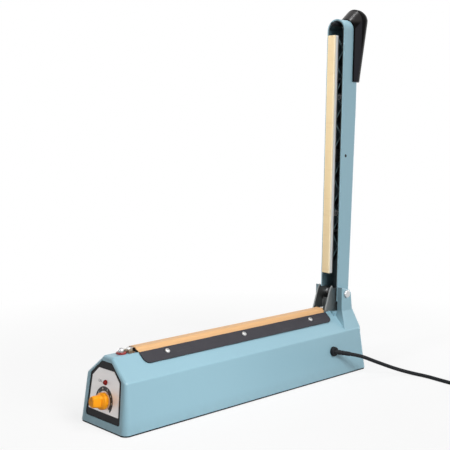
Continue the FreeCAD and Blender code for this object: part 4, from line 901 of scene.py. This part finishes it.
def makeStrip():
    s = pressStrip
    depth, middle = s["face"] - s["back"], -(s["face"] + s["back"]) / 2
    bm = box((s["width"], depth, s["end"] - s["start"]), (0, middle, (s["start"] + s["end"]) / 2))
    rounded(bm, s["edge"], 4, lambda e: all(v.co.y < middle * mm for v in e.verts))  # the face's edges
    finished("pressStrip", gathered([(bm, armFrame)]), "pressure_bar", ["silicone_strip"])


makeStrip()
print("silicone strip on its bar")


# screws with a cross recess

panScrew = {"head": 2.9, "rise": 1.8, "shank": 1.45, "reach": 5.0, "slot": 3.5, "slotWidth": 0.75,
            "slotDepth": 1.0}
flatScrew = {"head": 2.75, "rise": 0.0, "shank": 1.45, "reach": 6.0, "slot": 3.2, "slotWidth": 0.7,
             "slotDepth": 0.9}
screwPlaces = {
    "clampAlong": (-125.0, -10.1, 104.8), "clampUp": 27.396, "clampTop": 1.56,
    "frontTerminal": (0, -166.4, 79.55), "rearTerminal": (0, 143.2, 79.55),
    "bracket": [(-6, 165.27, 78), (6, 165.27, 78)],
    "bottomAcross": (-35.3, 35.3), "bottomAlong": (-178.5, -8.2, 162.1), "bottomUp": 0.6,
    "handleAlong": (290, 326), "handleBack": 17.8,
    "firstTurn": 12, "turnEach": 37,  # how far each one happens to be turned
}


def crossScrew(kind):
    head, rise, shank, reach = kind["head"], kind["rise"], kind["shank"], kind["reach"]
    if rise:
        crown = [(shank, 0), (head, 0), (head, rise * 0.3), (head * 0.95, rise * 0.58),
                 (head * 0.78, rise * 0.86), (head * 0.45, rise), (0, rise)]
    else:
        crown = [(shank, -head + shank), (head - 0.08, -0.12), (head - 0.16, 0), (0, 0)]
    bm = lathe([(0, -reach), (shank * 0.7, -reach), (shank, -reach + 0.5)] + crown, 36)
    cutters = []
    for turn in (0, 90):
        slot = box((kind["slot"], kind["slotWidth"], 2 * kind["slotDepth"]), (0, 0, rise))
        low = [v for v in slot.verts if v.co.z < rise * mm]
        bmesh.ops.scale(slot, vec=(0.6, 0.8, 1), verts=low)  # narrower towards its floor
        bmesh.ops.rotate(slot, cent=(0, 0, 0), matrix=turned(turn, "Z").to_3x3(), verts=slot.verts[:])
        cutters.append(slot)
    return carved(bm, cutters)


def setScrews(name, kind, places, body, replaced):
    screw = crossScrew(kind)
    turns = [screwPlaces["turnEach"] * n + screwPlaces["firstTurn"] for n in range(len(places))]
    parts = [(screw, place @ turned(turn, "Z")) for place, turn in zip(places, turns)]
    finished(name, gathered(parts), body, [replaced], angle=30)


def makeScrews():
    s = screwPlaces
    clamp = [slopeFrame @ at(y, s["clampUp"], s["clampTop"]) for y in s["clampAlong"]]
    clamp += [turned(180, "Z") @ slopeFrame @ at(-y, s["clampUp"], s["clampTop"]) for y in s["clampAlong"]]
    under = [at(x, y, s["bottomUp"]) @ turned(180, "X") for x in s["bottomAcross"] for y in s["bottomAlong"]]
    inward = [armFrame @ at(0, s["handleBack"], along) @ turned(90, "X") for along in s["handleAlong"]]
    frontTerminal, rearTerminal = [at(*s["frontTerminal"])], [at(*s["rearTerminal"])]
    setScrews("clampScrews", panScrew, clamp, "base", "clamp_screws")
    setScrews("frontTerminalScrew", panScrew, frontTerminal, "front_terminal", "front_terminal_screw")
    setScrews("rearTerminalScrew", panScrew, rearTerminal, "rear_terminal", "rear_terminal_screw")
    setScrews("bracketScrews", panScrew, [at(*place) for place in s["bracket"]], "base", "bracket_screws")
    setScrews("bottomScrews", flatScrew, under, "base", "bottom_screws")
    setScrews("handleScrews", panScrew, inward, "arm", "handle_screws")


makeScrews()
print("screws set")


# timer knob, dial print and lamp on the front panel

timerKnob = {
    "up": 27.9, "base": -0.15, "flutes": 24, "fluteDepth": 0.16, "fluteFrom": 8.9, "fluteLow": 0.2,
    "flat": 4.0, "flatFrom": 4.9, "flatRun": 1.6, "flatEase": 5, "flatKeep": 0.25,
    "profile": [(0, 13.4), (3.05, 13.4), (3.05, 3), (7.4, 3), (7.4, 0), (8.7, 0), (9, 0.3), (9, 3.5),
                (8.75, 4.25), (8.1, 4.75), (7.4, 5.05), (6.95, 5.6), (6.75, 6.5), (6.4, 9.5), (6.1, 13),
                (5.85, 14.6), (5.3, 15.5), (4.3, 15.95), (2.6, 16), (0, 16)],
    "line": (0.8, 4.6, 0.3), "linePlace": (0, 3.3, 16.05), "lineEdge": 0.1,
}
dialPrint = {"up": 27.9, "face": -0.5, "inner": 10.3, "outer": 15.2, "start": -41.5, "sweep": 262,
             "steps": 96, "thickness": 0.03, "bandLift": 0.035, "marks": 8, "markSize": 3.4,
             "markRadius": 12.75, "markLift": 0.06, "letterDepth": 0.015,
             "word": "ON", "wordSize": 4.2, "wordAcross": -9.5, "wordLift": 0.03}
panelLamp = {"up": 47.2, "face": -0.5, "steps": 40,
             "profile": [(0, -1), (2.3, -1), (2.3, 0), (2.9, 0), (2.9, 0.3), (2.65, 0.5), (2.4, 0.55),
                         (2.36, 1.2), (2.15, 1.9), (1.7, 2.5), (0.95, 2.88), (0, 3)]}


def onPanel(across, up, out):
    return panelFrame @ at(across, up, out)


def makeKnob():
    k = timerKnob
    bm = lathe(k["profile"], k["flutes"] * 4)
    for v in bm.verts:
        radius, z = math.hypot(v.co.x, v.co.y) / mm, v.co.z / mm
        if radius > k["fluteFrom"] and z > k["fluteLow"]:
            flute(v, k["flutes"], k["fluteDepth"], radius)
        if z > k["flatFrom"]:  # the two flats that the fingers hold
            limit = k["flat"] + (1 - ramp(z, k["flatFrom"], k["flatRun"])) * k["flatEase"]
            over = abs(v.co.x) / mm - limit
            if over > 0:
                v.co.x = math.copysign((limit + over * k["flatKeep"]) * mm, v.co.x)
    place = onPanel(0, k["up"], k["base"])
    finished("timerKnob", gathered([(bm, place)]), "knob", ["timer_knob"], angle=50)
    line = rounded(box(k["line"], k["linePlace"]), k["lineEdge"], 2)
    finished("knobLine", gathered([(line, place)]), "knob", finish=brownInk)


def lettering(text, size):
    curve = bpy.data.curves.new("lettering", "FONT")
    curve.body = text
    curve.size = size * mm
    curve.align_x = "CENTER"
    curve.align_y = "CENTER"
    curve.extrude = dialPrint["letterDepth"] * mm
    holder = bpy.data.objects.new("lettering", curve)
    scene.collection.objects.link(holder)
    mesh = bpy.data.meshes.new_from_object(holder.evaluated_get(bpy.context.evaluated_depsgraph_get()))
    bm = bmesh.new()
    bm.from_mesh(mesh)
    bpy.data.objects.remove(holder)
    return bm


def makeDial():
    d = dialPrint
    first = math.radians(d["start"])
    band = bmesh.new()
    chain(band, [(r * mm * math.cos(first), r * mm * math.sin(first), 0) for r in (d["inner"], d["outer"])])
    bmesh.ops.spin(band, geom=band.verts[:] + band.edges[:], cent=(0, 0, 0), axis=(0, 0, 1),
                   angle=math.radians(d["sweep"]), steps=d["steps"])
    bmesh.ops.recalc_face_normals(band, faces=band.faces[:])
    bmesh.ops.solidify(band, geom=band.faces[:], thickness=d["thickness"] * mm)
    place = onPanel(0, d["up"], d["face"] + d["bandLift"])
    finished("dialBand", gathered([(band, place)]), "base", finish=blackInk)
    marks = []
    for n in range(d["marks"]):
        angle = math.radians(d["start"] + d["sweep"] * (1 - n / (d["marks"] - 1)))
        across, up = d["markRadius"] * math.cos(angle), d["up"] + d["markRadius"] * math.sin(angle)
        marks.append((lettering(str(n + 1), d["markSize"]), onPanel(across, up, d["face"] + d["markLift"])))
    finished("dialMarks", gathered(marks), "base", finish=whiteInk)
    place = onPanel(d["wordAcross"], panelLamp["up"], d["face"] + d["wordLift"])
    finished("panelWords", gathered([(lettering(d["word"], d["wordSize"]), place)]), "base", finish=greyInk)


def makeLamp():
    lens = lathe(panelLamp["profile"], panelLamp["steps"])
    place = onPanel(0, panelLamp["up"], panelLamp["face"])
    finished("panelLamp", gathered([(lens, place)]), "base", ["power_lamp"])


makeKnob()
makeDial()
makeLamp()
print("front panel dressed")


# floor, world and lamps

room = {
    "floorSize": 6.0,
    "floorGrey": (0.5, 0.5, 0.5),
    "floorPale": (0.8, 0.8, 0.8),
    "floorShow": 0.8,
    "shadowStart": 0.15,
    "shadowReach": 0.5,
    "ambient": 0.17,
    "white": (1, 1, 1, 1),
    "lamps": {  # place, aim, size, power, spread
        "key": ((1.8, -0.25, 1.18), (0, -0.12, 0.03), 0.8, 4.0, 60),
        "shoulderFill": ((0.45, 0, 0.75), (0.03, -0.17, 0.06), 0.25, 0.21, 45),
        "armFill": ((-0.05, -1.35, 0.85), (0, 0.16, 0.3), 0.3, 0.49, 32),
        "gripLight": ((-0.05, 0.13, 0.95), (0, 0.19, 0.45), 0.14, 0.13, 40),
        "leftFill": ((-1.75, -0.3, 0.5), (0, 0, 0.12), 1.0, 7, 180),
        "rearFill": ((0.35, 1.75, 0.5), (0, 0.1, 0.15), 1.0, 7, 180),
    },
}


def makeFloor():
    bm = bmesh.new()
    bmesh.ops.create_circle(bm, cap_ends=True, segments=96, radius=room["floorSize"])
    mesh = bpy.data.meshes.new("floor")
    bm.to_mesh(mesh)
    bm.free()
    floor = bpy.data.objects.new("floor", mesh)
    scene.collection.objects.link(floor)
    f = Finish("paleFloor", {"Roughness": 0.9, "Specular IOR Level": 0.1})
    away = f.add("VectorMath", {"operation": "LENGTH"}, {0: f.place}, "Value")
    fade = away.beyond(room["shadowStart"], room["shadowReach"])
    seen = f.seen()
    f.feed("Base Color", f.blend(seen, room["floorGrey"], room["floorPale"]))
    white = f.add("Emission", sockets={"Color": room["white"], "Strength": 1.0})
    share = seen * (room["floorShow"] + fade * (1 - room["floorShow"]))
    mixed = f.add("MixShader", sockets={0: share, 1: Sock(f, f.shader.outputs[0]), 2: white})
    f.give(f.tree.nodes["Material Output"].inputs["Surface"], mixed)
    mesh.materials.append(f.material)


def makeWorld():
    world = bpy.data.worlds.new("studio")
    scene.world = world
    world.use_nodes = True
    w = Nodes(world.node_tree)
    soft = w.add("Background", sockets={"Color": room["white"], "Strength": room["ambient"]})
    white = w.add("Background", sockets={"Color": room["white"], "Strength": 1.0})
    mixed = w.add("MixShader", sockets={0: w.seen(), 1: soft, 2: white})
    w.give(w.tree.nodes["World Output"].inputs["Surface"], mixed)


def makeLamps():
    for name, (place, aim, size, power, spread) in room["lamps"].items():
        data = bpy.data.lights.new(name, "AREA")
        data.size = size
        data.spread = math.radians(spread)
        data.energy = power
        light = bpy.data.objects.new(name, data)
        light.location = place
        light.rotation_euler = (Vector(aim) - Vector(place)).to_track_quat("-Z", "Y").to_euler()
        scene.collection.objects.link(light)


makeFloor()
makeWorld()
makeLamps()
print("room lit by", len(room["lamps"]), "lamps")
